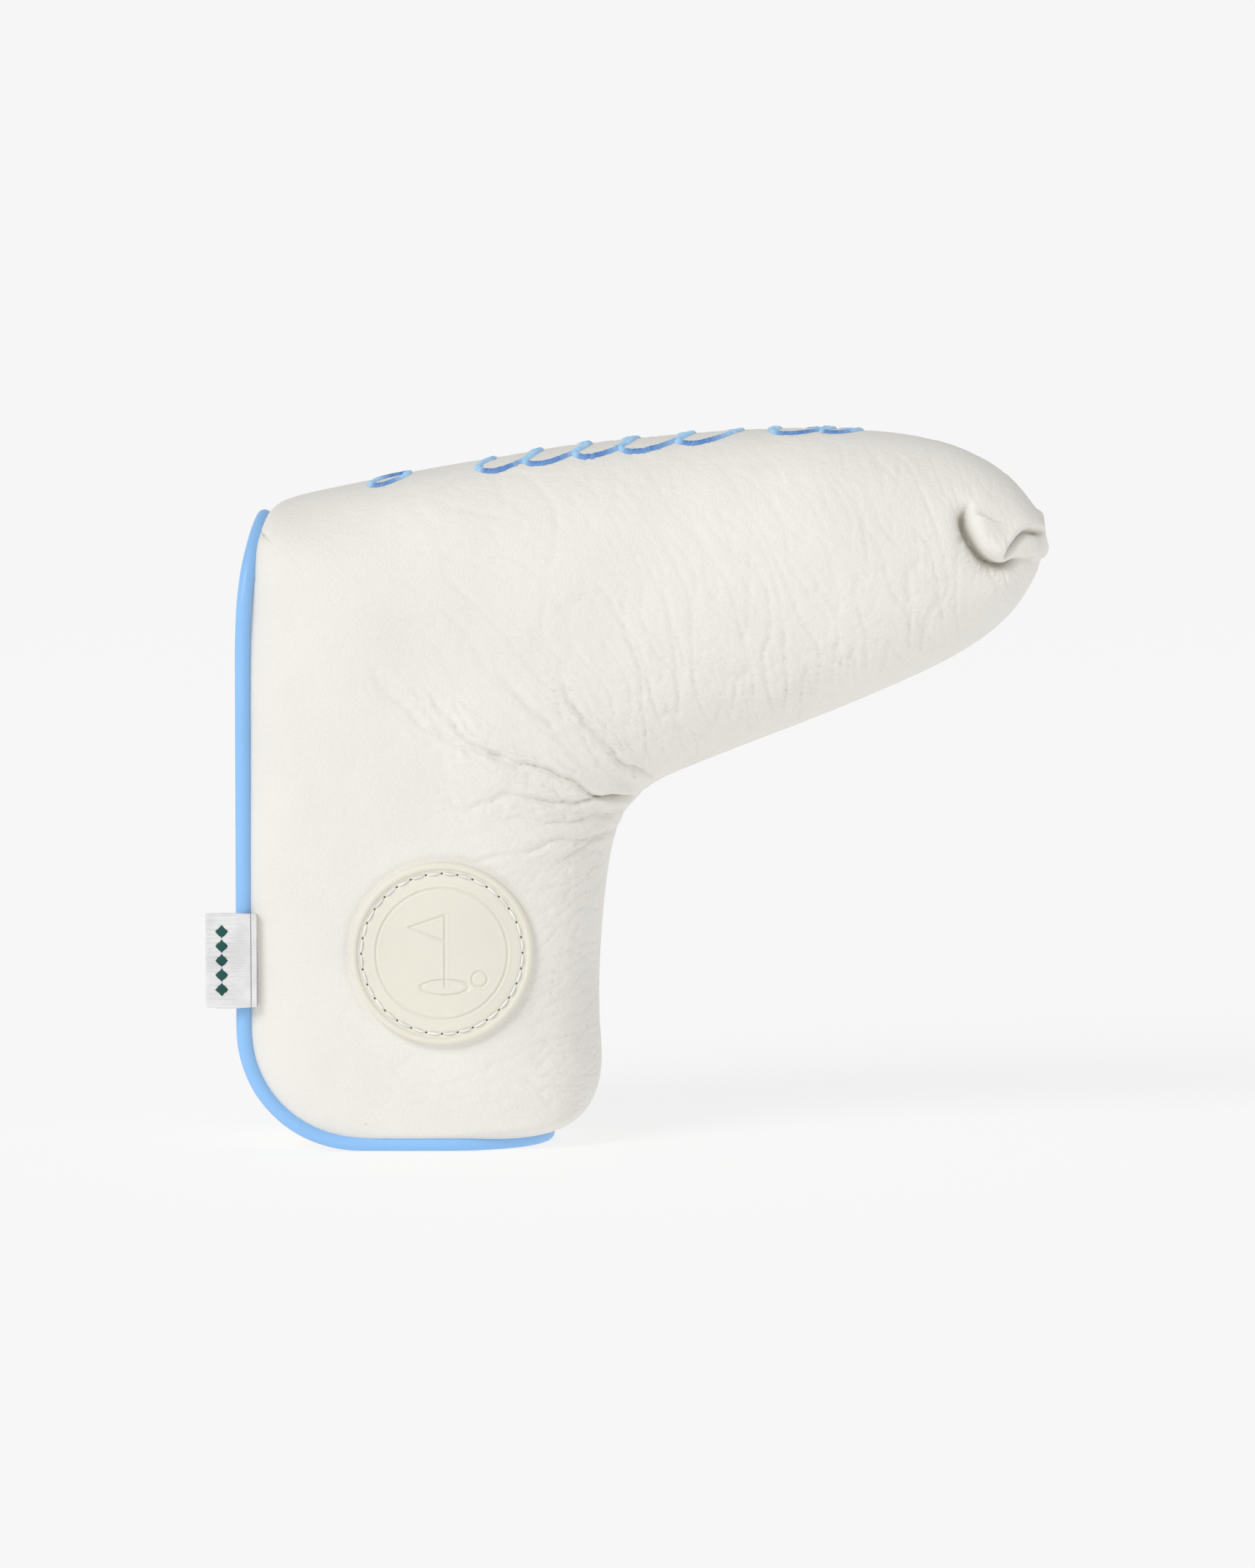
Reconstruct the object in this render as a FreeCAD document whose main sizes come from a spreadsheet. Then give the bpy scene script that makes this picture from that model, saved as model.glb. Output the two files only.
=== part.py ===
"""A blade putter's head cover, standing on its toe end.

The pocket for the putter head is upright: its sole side faces -X, its crown side +X and its toe end -Z.
The neck for the putter's shaft runs to +X and a little upward.  The front faces -Y.  The closing flap is
on the back, +Y, hinged along the sole, and is held shut by magnets.  Sizes are in millimetres.

The walls are layers.  Each layer lies between two nested boot shapes, so most pieces are one boot shape
less another, trimmed to the piece's own outline:  leather, then foam padding, then plush lining.
"""
import FreeCAD, Part
import Sketcher
import math
import os

Vec = FreeCAD.Vector
doc = FreeCAD.newDocument("putter_head_cover")

# ---------------------------------------------------------------- driving dimensions
# name, millimetres or degrees, what it measures
DIMENSIONS = [
    ("sole_x", -77.0, "outer face of the sole strip"),
    ("sole_lean_deg", 7.0, "lean of the sole strip towards the spine near the heel"),
    ("sole_lean_z", 93.0, "height where that lean begins"),
    ("toe_radius", 24.0, "corner between the sole strip and the toe end"),
    ("leather", 1.2, "thickness of the leather"),
    ("padding", 3.8, "thickness of the foam padding"),
    ("lining", 2.5, "thickness of the plush lining"),
    ("sole_padding", 3.0, "thickness of the foam padding behind the sole strip"),
    ("strip_proud", 2.1, "how far the sole strip stands proud of the leather upper's edge"),
    ("board", 1.2, "thickness of the stiffening board behind the sole strip"),
    ("seam_front", 20.6, "distance of the front piped seam from the middle plane"),
    ("seam_back", 18.0, "distance of the back piped seam from the middle plane"),
    ("toe_end_x", -35.0, "centre of the sole strip's round end under the toe"),
    ("heel_top_z", 126.0, "top of the sole strip's round end at the heel"),
    ("piping_bend", 60.0, "radius of the piping's bend where the sole strip begins to lean"),
    ("piping_dia", 3.0, "diameter of the piping"),
    ("cord_dia", 1.8, "diameter of the cord inside the piping"),
    ("back_shallower", 3.0, "how much shallower the back is than the front, under the flap"),
    ("mouth_left", -66.5, "side opening: edge beside the sole strip"),
    ("mouth_right", -41.5, "side opening: edge on the back panel"),
    ("mouth_low", 20.0, "side opening: lower end"),
    ("mouth_high", 111.0, "side opening: upper end"),
    ("mouth_corner", 8.0, "side opening: corner radius"),
    ("binding", 1.5, "thickness of the binding round the side opening"),
    ("flap_left", -73.6, "flap: hinged edge"),
    ("flap_right", -27.0, "flap: free edge"),
    ("flap_low", 15.0, "flap: lower end"),
    ("flap_high", 116.0, "flap: upper end"),
    ("flap_corner", 14.0, "flap: radius of its free corners"),
    ("flap_gap", 0.5, "air between the flap and the back panel"),
    ("flap_lining_thick", 1.2, "thickness of the flap's lining"),
    ("flap_board_thick", 0.9, "thickness of the flap's board"),
    ("flap_board_margin", 4.0, "width of the flap's edge that holds no board"),
    ("magnet_dia", 10.0, "diameter of each closing magnet"),
    ("magnet_thick", 1.5, "thickness of each magnet in the back panel"),
    ("magnet_x", -34.0, "where the magnets are, across the back panel"),
    ("magnet_low", 38.0, "height of the lowest magnet"),
    ("magnet_pitch", 28.0, "distance between magnets"),
    ("neck_angle_deg", 13.5, "rise of the neck"),
    ("neck_end_x", 81.2, "middle of the neck's open end"),
    ("neck_end_z", 119.75, "middle of the neck's open end"),
    ("neck_hole_half", 5.2, "half height of the gathered opening"),
    ("neck_hole_side", 7.5, "half width of the gathered opening"),
    ("hem_length", 9.0, "how far the leather turns in at the neck's open end"),
    ("elastic_thick", 1.2, "thickness of the elastic band"),
    ("elastic_width", 5.0, "width of the elastic band"),
    ("elastic_at", 2.5, "distance of the elastic band from the neck's open end"),
    ("patch_x", -36.4, "middle of the round patch"),
    ("patch_z", 39.5, "middle of the round patch"),
    ("patch_dia", 36.0, "diameter of the round patch"),
    ("patch_thick", 1.5, "thickness of the round patch"),
    ("patch_stitches", 32, "stitches round the patch"),
    ("patch_stitch_radius", 15.8, "radius of the ring of stitches"),
    ("thread_dia", 0.6, "diameter of the sewing thread"),
    ("tag_low", 28.8, "lower edge of the woven tag"),
    ("tag_height", 18.4, "length of the woven tag along the seam"),
    ("tag_left", -82.8, "fold of the woven tag"),
    ("tag_right", -73.9, "edge of the woven tag at the seam"),
    ("tag_front", -24.0, "front face of the woven tag"),
    ("ribbon", 0.5, "thickness of the tag's ribbon"),
    ("folded_ribbon", 1.15, "thickness of the tag, which is its ribbon folded double"),
    ("diamond", 2.0, "side of each woven diamond on the tag"),
    ("diamond_thick", 0.15, "height of the woven diamonds above the tag"),
    ("diamond_x", 3.2, "distance of the diamonds from the tag's fold"),
    ("diamond_low", 2.1, "distance of the lowest diamond from the tag's lower edge"),
    ("diamond_pitch", 2.85, "distance between diamonds"),
    ("embroidery_thick", 0.55, "height of the embroidery above the leather"),
    ("embroidery_width", 1.4, "width of the embroidered line"),
]

sheet = doc.addObject("Spreadsheet::Sheet", "Dimensions")
for row, (name, value, meaning) in enumerate(DIMENSIONS, start=1):
    sheet.set(f"A{row}", name)
    sheet.set(f"B{row}", str(value))
    sheet.setAlias(f"B{row}", name)
    sheet.set(f"C{row}", meaning)
doc.recompute()


def size(name):
    """A driving dimension's value."""
    return float(sheet.get(name))


def point(x, z, y=0.0):
    """A point given by its place in the front view, and its depth."""
    return Vec(x, y, z)


# Where each layer begins, measured inwards from the leather's face and from the sole strip's face.
FOAM_AT = size("leather")
LINING_AT = FOAM_AT + size("padding")
ROOM_AT = LINING_AT + size("lining")
LEATHER_EDGE = size("strip_proud")
SOLE_FOAM_AT = LEATHER_EDGE + size("leather")
SOLE_LINING_AT = SOLE_FOAM_AT + size("sole_padding")
SOLE_ROOM_AT = SOLE_LINING_AT + size("lining")
SEAM_MIDDLE = (size("seam_back") - size("seam_front")) / 2
SEAM_HALF = (size("seam_back") + size("seam_front")) / 2
HEEL_CENTRE_Z = size("heel_top_z") - SEAM_HALF
NECK_ANGLE = math.radians(size("neck_angle_deg"))
FAR = 150.0             # reaches past the whole object

# How far each layer's edge stops short of the piped seam's middle line
STRIP_SHORT = 0.6
UPPER_SHORT = 1.2
BOARD_SHORT = 2.0
PLUSH_SHORT = 4.5
WHOLE_STRIP = 50.0      # half width of a slab wider than the sole strip

# ---------------------------------------------------------------- the boot shape
# Cross-sections of the boot, from the toe end up the pocket, round the inner corner and along the neck.
# Each is (crown side x, z), (sole or spine side x, z), depth in front.  On the pocket they run past the
# sole face, which a straight cut then makes flat for the sole strip.
SECTIONS = [
    ((-27.0, -2.0), (-88.5, -2.0), 20.5),
    ((-17.0, 2.0), (-88.5, 2.0), 22.0),
    ((-9.3, 5.5), (-88.5, 5.5), 23.0),
    ((-5.6, 10.5), (-88.5, 10.5), 23.7),
    ((-5.3, 18.0), (-88.5, 18.0), 24.0),
    ((-5.5, 34.0), (-88.5, 36.0), 24.0),
    ((-4.4, 50.0), (-88.5, 62.0), 24.0),
    ((-3.0, 58.5), (-88.5, 86.0), 24.0),
    ((-0.6, 65.6), (-88.0, 108.0), 24.0),
    ((1.6, 68.4), (-83.0, 121.0), 24.0),
    ((4.0, 70.6), (-68.0, 128.0), 23.8),
    ((8.0, 72.8), (-50.0, 131.8), 23.5),
    ((14.0, 75.2), (-25.0, 136.2), 23.0),
    ((24.0, 79.0), (2.0, 139.8), 22.3),
    ((36.0, 83.8), (22.0, 141.4), 21.5),
    ((48.0, 88.7), (40.0, 141.8), 20.5),
    ((60.0, 94.0), (55.0, 140.6), 19.0),
    ((67.5, 98.0), (64.0, 138.4), 17.2),
    ((73.5, 102.4), (70.2, 135.8), 15.2),
    ((78.8, 107.8), (75.8, 131.6), 12.8),
    ((82.8, 112.9), (79.6, 126.6), 10.0),
]
INNER_CORNER = 10       # the section in the bend between the pocket and the neck
POCKET_POWER = 3.0      # boxy sections round the putter head
NECK_POWER = 2.3        # rounder sections round the shaft
SMALLEST_HALF = 3.0     # a layer stops before its section gets smaller than this
HALF_POINTS = 12        # spans in half a section


def blend_from(first, last, at):
    """0 up to the section first, 1 from the section last."""
    return min(max((at - first) / (last - first), 0.0), 1.0)


def section_wire(crown, sole, front, back, power):
    """One rounded section: a front half and a back half that meet at the crown side and the sole side."""
    middle = (crown + sole) * 0.5
    half = (sole - crown) * 0.5

    def rim(angle):
        across, deep = math.cos(angle), math.sin(angle)
        along = math.copysign(abs(across) ** (2 / power), across)
        depth = math.copysign(abs(deep) ** (2 / power), deep)
        return middle + half * along + Vec(0, depth * (back if depth > 0 else front), 0)

    edges = []
    for start in (0, 1):
        points = [rim(math.pi * (start + k / HALF_POINTS)) for k in range(HALF_POINTS + 1)]
        curve = Part.BSplineCurve()
        curve.interpolate(points)
        edges.append(curve.toShape())
    return Part.Wire(edges)


def boot(inset):
    """The boot's solid with its face moved inwards by inset, not yet cut at the sole and toe."""
    wires = []
    for at, (crown, sole, front) in enumerate(SECTIONS):
        crown, sole = point(*crown), point(*sole)
        across = (sole - crown).normalize()
        if (sole - crown).Length / 2 - inset < SMALLEST_HALF:
            continue
        last = at == len(SECTIONS) - 1
        back_step = Vec(-math.cos(NECK_ANGLE), 0, -math.sin(NECK_ANGLE)) * (inset if last else 0)
        power = POCKET_POWER + (NECK_POWER - POCKET_POWER) * blend_from(8, 14, at)
        shallower = size("back_shallower") * (1 - blend_from(9, 14, at))
        wires.append(
            section_wire(
                crown + across * inset + back_step,
                sole - across * inset + back_step,
                front - inset,
                front - shallower - inset,
                power,
            )
        )
    return Part.makeLoft(wires, True, False)


def sole_block(inset):
    """Everything on the boot's side of the sole and toe faces, moved inwards by inset.

    Its edge in the front view is the toe's flat, the toe corner's arc, the upright sole and the lean."""
    left = size("sole_x") + inset
    radius = size("toe_radius") - inset
    low = inset
    lean = math.radians(size("sole_lean_deg"))
    lean_z = size("sole_lean_z")
    top_x = left + (FAR - lean_z) * math.tan(lean)
    middle = Vec(left + radius, -FAR, low + radius)
    arc_middle = middle + Vec(-radius * math.sqrt(0.5), 0, -radius * math.sqrt(0.5))
    corners = [
        Vec(left + radius, -FAR, low),
        Vec(left, -FAR, low + radius),
        Vec(left, -FAR, lean_z),
        Vec(top_x, -FAR, FAR),
        Vec(FAR, -FAR, FAR),
        Vec(FAR, -FAR, low),
    ]
    edges = [Part.Arc(corners[0], arc_middle, corners[1]).toShape()]
    for start, end in zip(corners[1:], corners[2:] + corners[:1]):
        edges.append(Part.makeLine(start, end))
    return Part.Face(Part.Wire(edges)).extrude(Vec(0, 2 * FAR, 0))


def strip_region(half, reach):
    """The long oval of the sole strip, half wide, from the sole and toe faces to a depth of reach."""
    y_low = SEAM_MIDDLE - half
    left = size("sole_x") - 1
    sole = Part.makeBox(reach + 15, 2 * half, HEEL_CENTRE_Z, Vec(left, y_low, 0))
    heel_end = Part.makeCylinder(half, reach + 15, Vec(left, SEAM_MIDDLE, HEEL_CENTRE_Z), Vec(1, 0, 0))
    toe_x = size("toe_end_x")
    toe = Part.makeBox(toe_x - left, 2 * half, size("toe_radius"), Vec(left, y_low, -1))
    toe_end = Part.makeCylinder(half, size("toe_radius"), Vec(toe_x, SEAM_MIDDLE, -1), Vec(0, 0, 1))
    oval = sole.multiFuse([heel_end, toe, toe_end])
    return oval.common(sole_block(0)).cut(sole_block(reach))


def shape_between(outer, inner, outer_sole, inner_sole):
    """The layer between two nested boots, closed all round."""
    return boot(outer).common(sole_block(outer_sole)).cut(boot(inner).common(sole_block(inner_sole)))


def front_half():
    return Part.makeBox(2 * FAR, FAR, 2 * FAR, Vec(-FAR, -FAR + SEAM_MIDDLE, -FAR))


def back_half():
    return Part.makeBox(2 * FAR, FAR, 2 * FAR, Vec(-FAR, SEAM_MIDDLE, -FAR))


def rounded_panel(left, right, low, high, radius, grow=0.0):
    """An upright panel with round corners that reaches from the middle plane through the back wall."""
    left, right, low, high = left - grow, right + grow, low - grow, high + grow
    radius = radius + grow
    block = Part.makeBox(right - left, FAR, high - low, Vec(left, 0, low))
    corners = [e for e in block.Edges if abs(e.tangentAt(e.FirstParameter).y) > 0.99]
    return block.makeFillet(radius, corners)


def ellipse_prism(half_height, half_width, start, length):
    """A straight elliptical rod along the neck's axis, from start millimetres behind its open end."""
    axis = Vec(math.cos(NECK_ANGLE), 0, math.sin(NECK_ANGLE))
    centre = point(size("neck_end_x"), size("neck_end_z")) - axis * start
    if half_width > half_height:
        curve = Part.Ellipse(Vec(0, 0, 0), half_width, half_height)
    else:
        curve = Part.Ellipse(Vec(0, 0, 0), half_height, half_width)
    face = Part.Face(Part.Wire(curve.toShape()))
    # the ellipse's long side starts along X, and has to lie along Y with its normal on the neck's axis
    turn = FreeCAD.Matrix()
    upward = Vec(-math.sin(NECK_ANGLE), 0, math.cos(NECK_ANGLE))
    sideways = axis.cross(upward) * -1
    for column, direction in enumerate((sideways, upward * -1, axis)):
        for line, value in enumerate((direction.x, direction.y, direction.z)):
            setattr(turn, f"A{line + 1}{column + 1}", value)
    placement = FreeCAD.Placement(turn)
    placement.Base = centre
    face.Placement = placement
    return face.extrude(axis * -length)


# ---------------------------------------------------------------- the pieces of the document
nodes = []


def add_piece(label, shape):
    """A piece whose shape is worked out here from the sheet's sizes."""
    piece = doc.addObject("Part::Feature", label)
    piece.Label = label
    piece.Shape = shape
    piece.Placement = FreeCAD.Placement()
    nodes.append(piece)
    return piece


def solids_of(shape, least=0.5):
    """The shape's solids as one group, leaving out specks under a half cubic millimetre."""
    found = [solid for solid in shape.Solids if solid.Volume > least]
    return found[0] if len(found) == 1 else Part.makeCompound(found)


def piping_path():
    """The piped seam's closed loop round the sole strip, at the middle of the piping."""
    deep = size("piping_dia") / 2
    left = size("sole_x") + deep
    radius = size("toe_radius") - deep
    low = deep
    front, back = SEAM_MIDDLE - SEAM_HALF, SEAM_MIDDLE + SEAM_HALF
    lean = math.radians(size("sole_lean_deg"))
    bend = size("piping_bend")
    bend_low = size("sole_lean_z") - bend * math.tan(lean / 2)
    bend_centre_x = left + bend
    toe_x = size("toe_end_x")
    along = Vec(math.sin(lean), 0, math.cos(lean))

    def bend_point(share, y):
        turn = lean * share
        return Vec(bend_centre_x - bend * math.cos(turn), y, bend_low + bend * math.sin(turn))

    def toe_point(share, y):
        turn = math.pi / 2 * share
        x = left + radius * (1 - math.cos(turn))
        return Vec(x, y, low + radius * (1 - math.sin(turn)))

    heel_run = (HEEL_CENTRE_Z - bend_point(1, 0).z) / math.cos(lean)

    def heel_point(side):
        return bend_point(1, side) + along * heel_run

    heel_top = heel_point(SEAM_MIDDLE) + along * SEAM_HALF
    edges = []
    for side in (front, back):
        edges += [
            Part.makeLine(Vec(toe_x, side, low), toe_point(1, side)),
            Part.Arc(toe_point(1, side), toe_point(0.5, side), toe_point(0, side)).toShape(),
            Part.makeLine(toe_point(0, side), bend_point(0, side)),
            Part.Arc(bend_point(0, side), bend_point(0.5, side), bend_point(1, side)).toShape(),
            Part.makeLine(bend_point(1, side), heel_point(side)),
        ]
    edges.append(Part.Arc(heel_point(front), heel_top, heel_point(back)).toShape())
    toe_tip = Vec(toe_x + SEAM_HALF, SEAM_MIDDLE, low)
    edges.append(Part.Arc(Vec(toe_x, back, low), toe_tip, Vec(toe_x, front, low)).toShape())
    return Part.Wire(Part.__sortEdges__(edges))


def tube_along(path, radius):
    """A round cord of this radius along a closed path."""
    start = path.OrderedEdges[0]
    at = start.valueAt(start.FirstParameter)
    profile = Part.Wire(Part.makeCircle(radius, at, start.tangentAt(start.FirstParameter)))
    shell = path.makePipeShell([profile], True, False)
    return Part.Solid(shell) if shell.ShapeType == "Shell" else shell


path = piping_path()
piping_solid = tube_along(path, size("piping_dia") / 2)
cord_solid = tube_along(path, size("cord_dia") / 2)

neck_half, neck_side = size("neck_hole_half"), size("neck_hole_side")
hem = size("leather")
neck_hole = ellipse_prism(neck_half, neck_side, -5, 30)
neck_hem_outer = ellipse_prism(neck_half + hem, neck_side + hem, 0, size("hem_length"))
neck_clearance = ellipse_prism(neck_half + hem, neck_side + hem, -5, 30)
elastic_place = (size("elastic_at"), size("elastic_width"))
elastic_inner = ellipse_prism(neck_half + hem, neck_side + hem, *elastic_place)
elastic_grow = hem + size("elastic_thick")
elastic_outer = ellipse_prism(neck_half + elastic_grow, neck_side + elastic_grow, *elastic_place)

mouth_edges = [size(name) for name in ("mouth_left", "mouth_right", "mouth_low", "mouth_high")]
mouth = rounded_panel(*mouth_edges, size("mouth_corner"))
bound_mouth = rounded_panel(*mouth_edges, size("mouth_corner"), size("binding"))

leather_shell = shape_between(0, FOAM_AT, LEATHER_EDGE, SOLE_FOAM_AT)
foam_shell = shape_between(FOAM_AT, LINING_AT, SOLE_FOAM_AT, SOLE_LINING_AT)
lining_shell = shape_between(LINING_AT, ROOM_AT, SOLE_LINING_AT, SOLE_ROOM_AT)
wall = shape_between(0, ROOM_AT, LEATHER_EDGE, SOLE_ROOM_AT)

magnet_tools = []


def add_magnets(label, depth_y, thick_name):
    """A column of round magnets, drawn as one group of cylinders bound to the sheet."""
    discs = []
    for number in range(3):
        disc = doc.addObject("Part::Cylinder", f"{label}_disc_{number + 1}")
        disc.setExpression("Radius", "Dimensions.magnet_dia / 2")
        disc.setExpression("Height", f"Dimensions.{thick_name}")
        disc.Placement.Rotation = FreeCAD.Rotation(Vec(1, 0, 0), -90)
        disc.setExpression("Placement.Base.x", "Dimensions.magnet_x")
        disc.setExpression(
            "Placement.Base.z", f"Dimensions.magnet_low + {number} * Dimensions.magnet_pitch"
        )
        disc.Placement.Base.y = depth_y
        discs.append(disc)
    group = doc.addObject("Part::Compound", label)
    group.Label = label
    group.Links = discs
    doc.recompute()
    nodes.append(group)
    return group


def face_depth(solid, x, z, towards_back):
    """The Y of the solid's front or back face at one place in the front view."""
    line = Part.makeLine(Vec(x, -FAR, z), Vec(x, FAR, z))
    depths = [vertex.Y for vertex in line.common(solid).Vertexes]
    return max(depths) if towards_back else min(depths)


# Upper, sole strip and piping
strip_window = strip_region(SEAM_HALF - UPPER_SHORT, SOLE_FOAM_AT)
upper = leather_shell.fuse(neck_hem_outer.common(boot(0))).cut(neck_hole)
upper = upper.cut(strip_window).cut(bound_mouth).cut(piping_solid)
add_piece("leather_upper", solids_of(upper))

sole_strip = strip_region(SEAM_HALF - STRIP_SHORT, size("leather")).cut(piping_solid)
add_piece("sole_strip", solids_of(sole_strip))

board_back = size("leather") + size("board")
sole_board = strip_region(SEAM_HALF - BOARD_SHORT, board_back)
sole_board = sole_board.cut(strip_region(WHOLE_STRIP, size("leather"))).cut(piping_solid)
add_piece("sole_board", solids_of(sole_board))

add_piece("piping_cover", solids_of(piping_solid.cut(cord_solid)))
add_piece("piping_cord", solids_of(cord_solid))

# Foam padding: one piece behind each leather panel
sole_foam_region = strip_region(SEAM_HALF - UPPER_SHORT, SOLE_LINING_AT)
sole_padding = sole_foam_region.cut(strip_region(WHOLE_STRIP, board_back)).cut(piping_solid)
add_piece("sole_padding", solids_of(sole_padding))
panel_foam = foam_shell.cut(sole_foam_region).cut(bound_mouth).cut(neck_clearance).cut(elastic_outer)
panel_foam = panel_foam.cut(piping_solid)

MAGNET_UNDER = 0.6      # foam between a magnet and the leather over it
inner_back = face_depth(boot(FOAM_AT), size("magnet_x"), size("magnet_low"), True)
body_magnet_y = inner_back - size("magnet_thick") - MAGNET_UNDER
body_magnets = add_magnets("body_magnets", body_magnet_y, "magnet_thick")
add_piece("front_padding", solids_of(panel_foam.common(front_half())))
add_piece("back_padding", solids_of(panel_foam.common(back_half()).cut(body_magnets.Shape)))

# Plush lining, cut to the same three panels
sole_plush_region = strip_region(SEAM_HALF - PLUSH_SHORT, SOLE_ROOM_AT)
panel_plush = lining_shell.cut(sole_plush_region).cut(bound_mouth).cut(neck_clearance)
panel_plush = panel_plush.cut(elastic_outer)
add_piece("front_lining", solids_of(panel_plush.common(front_half())))
add_piece("back_lining", solids_of(panel_plush.common(back_half())))
add_piece("sole_lining", solids_of(lining_shell.common(sole_plush_region).cut(bound_mouth)))

# The side opening's binding, and the elastic band in the neck's open end
add_piece("mouth_binding", solids_of(wall.common(bound_mouth.cut(mouth)).common(back_half())))
add_piece("neck_elastic", elastic_outer.cut(elastic_inner))


# ---------------------------------------------------------------- the closing flap
def flap_region(margin):
    """The flap's outline, moved inwards by margin.  Only its free corners are round."""
    edges = [size(name) for name in ("flap_left", "flap_right", "flap_low", "flap_high")]
    panel = rounded_panel(edges[0] - 40, *edges[1:], size("flap_corner"), -margin)
    hinged = Part.makeBox(2 * FAR, FAR, 2 * FAR, Vec(edges[0] + margin, SEAM_MIDDLE, -FAR))
    return panel.common(hinged).common(sole_block(LEATHER_EDGE + margin))


def flap_layer(outer, inner, margin):
    """A layer of the flap, between two distances outside the back panel's face."""
    return boot(-outer).cut(boot(-inner)).common(flap_region(margin))


flap_inside = size("flap_gap")
flap_board_at = flap_inside + size("flap_lining_thick")
flap_leather_at = flap_board_at + size("flap_board_thick")
flap_outside = flap_leather_at + size("leather")
turned_edge = flap_layer(flap_outside, flap_inside, 0).cut(flap_region(size("leather")))
flap_leather = flap_layer(flap_outside, flap_leather_at, 0).fuse(turned_edge)
FLAP_MAGNET_UNDER = 0.3     # between a magnet and the flap's leather
PIPING_CLEARANCE = 0.4      # air between the flap's hinged edge and the piping
flap_magnet_y = face_depth(boot(-flap_leather_at), size("magnet_x"), size("magnet_low"), True)
flap_magnet_y -= size("magnet_thick") + FLAP_MAGNET_UNDER
flap_magnets = add_magnets("flap_magnets", flap_magnet_y, "magnet_thick")
piping_room = tube_along(path, size("piping_dia") / 2 + PIPING_CLEARANCE)
add_piece("flap_leather", solids_of(flap_leather.cut(flap_magnets.Shape).cut(piping_room)))
flap_board = flap_layer(flap_leather_at, flap_board_at, size("flap_board_margin"))
add_piece("flap_board", solids_of(flap_board.cut(flap_magnets.Shape)))
flap_plush = flap_layer(flap_board_at, flap_inside, size("leather"))
add_piece("flap_lining", solids_of(flap_plush.cut(flap_magnets.Shape)))


# ---------------------------------------------------------------- stitching
def stitch(start, end):
    """One stitch of sewing thread that shows between two holes."""
    return Part.makeCylinder(size("thread_dia") / 2, (end - start).Length, start, end - start)


def stitches_along(places, length):
    """Stitches of one length, each centred on a place and laid along its direction."""
    return Part.makeCompound([stitch(at - way * (length / 2), at + way * (length / 2)) for at, way in places])


LIFT = size("thread_dia") / 2 + 0.1     # the thread lies on the face
STITCH = 2.8
STITCH_PITCH = 4.2
PATCH_STITCH = 1.9

# Along the free sides of the flap, on a path inside its edge
STITCH_INSET = 3.0
low, high = size("flap_low") + STITCH_INSET, size("flap_high") - STITCH_INSET
free = size("flap_right") - STITCH_INSET
turn = size("flap_corner") - STITCH_INSET
start_x = size("flap_left") + 12
slant = turn * (1 - math.sqrt(0.5))
row_corners = [point(start_x, low), point(free - turn, low), point(free, low + turn)]
row_corners += [point(free, high - turn), point(free - turn, high), point(start_x, high)]
low_bend, high_bend = point(free - slant, low + slant), point(free - slant, high - slant)
flap_row = Part.Wire(
    [
        Part.makeLine(row_corners[0], row_corners[1]),
        Part.Arc(row_corners[1], low_bend, row_corners[2]).toShape(),
        Part.makeLine(row_corners[2], row_corners[3]),
        Part.Arc(row_corners[3], high_bend, row_corners[4]).toShape(),
        Part.makeLine(row_corners[4], row_corners[5]),
    ]
)
row_points = flap_row.discretize(Distance=STITCH_PITCH)
places = []
flap_face = boot(-flap_outside)
for before, after in zip(row_points, row_points[1:]):
    middle = (before + after) * 0.5
    before.y = face_depth(flap_face, before.x, before.z, True)
    after.y = face_depth(flap_face, after.x, after.z, True)
    middle.y = face_depth(flap_face, middle.x, middle.z, True) + LIFT
    places.append((middle, (after - before).normalize()))
add_piece("flap_thread", stitches_along(places, STITCH))

# Along the crown seam, from the toe end to the underside of the neck
SEAM_LOW_Z, SEAM_END_X = 12.0, 72.0
inner_corner = Part.Vertex(point(*SECTIONS[INNER_CORNER][0]))
long_edges = [edge for edge in boot(0).Edges if edge.Length > 100]
crown_edge = min(long_edges, key=lambda edge: edge.distToShape(inner_corner)[0])
crown_row = crown_edge.discretize(Distance=STITCH_PITCH)
seam_points = [p for p in crown_row if p.z > SEAM_LOW_Z and p.x < SEAM_END_X]
places = []
for before, after in zip(seam_points, seam_points[1:]):
    way = (after - before).normalize()
    if way.z < 0:
        way = way * -1
    outward = Vec(way.z, 0, -way.x)
    places.append(((before + after) * 0.5 + outward * LIFT, way))
add_piece("crown_seam_thread", stitches_along(places, STITCH))

# ---------------------------------------------------------------- what shows on the front
patch_middle = point(size("patch_x"), size("patch_z"), -FAR)
patch_cut = Part.makeCylinder(size("patch_dia") / 2, FAR, patch_middle, Vec(0, 1, 0))
patch = boot(-size("patch_thick")).cut(boot(0)).common(patch_cut)
add_piece("round_patch", solids_of(patch))

places = []
count = int(size("patch_stitches"))
radius = size("patch_stitch_radius")
patch_face = boot(-size("patch_thick"))
for number in range(count):
    angle = 2 * math.pi * number / count
    ends = []
    for step in (-0.5, 0, 0.5):
        at = angle + step * 2 * math.pi / count
        x, z = size("patch_x") + radius * math.cos(at), size("patch_z") + radius * math.sin(at)
        ends.append(point(x, z, face_depth(patch_face, x, z, False)))
    places.append((ends[1] - Vec(0, LIFT, 0), (ends[2] - ends[0]).normalize()))
add_piece("patch_thread", stitches_along(places, PATCH_STITCH))


CLOUD_FLOOR = 115.0     # below the spine and above the underside of the neck
CLOUD_REACH = 12.0      # how far down each side of the spine the lobes come
CLOUD_CORE = 6.5        # half width of the middle that joins the lobes


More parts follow.
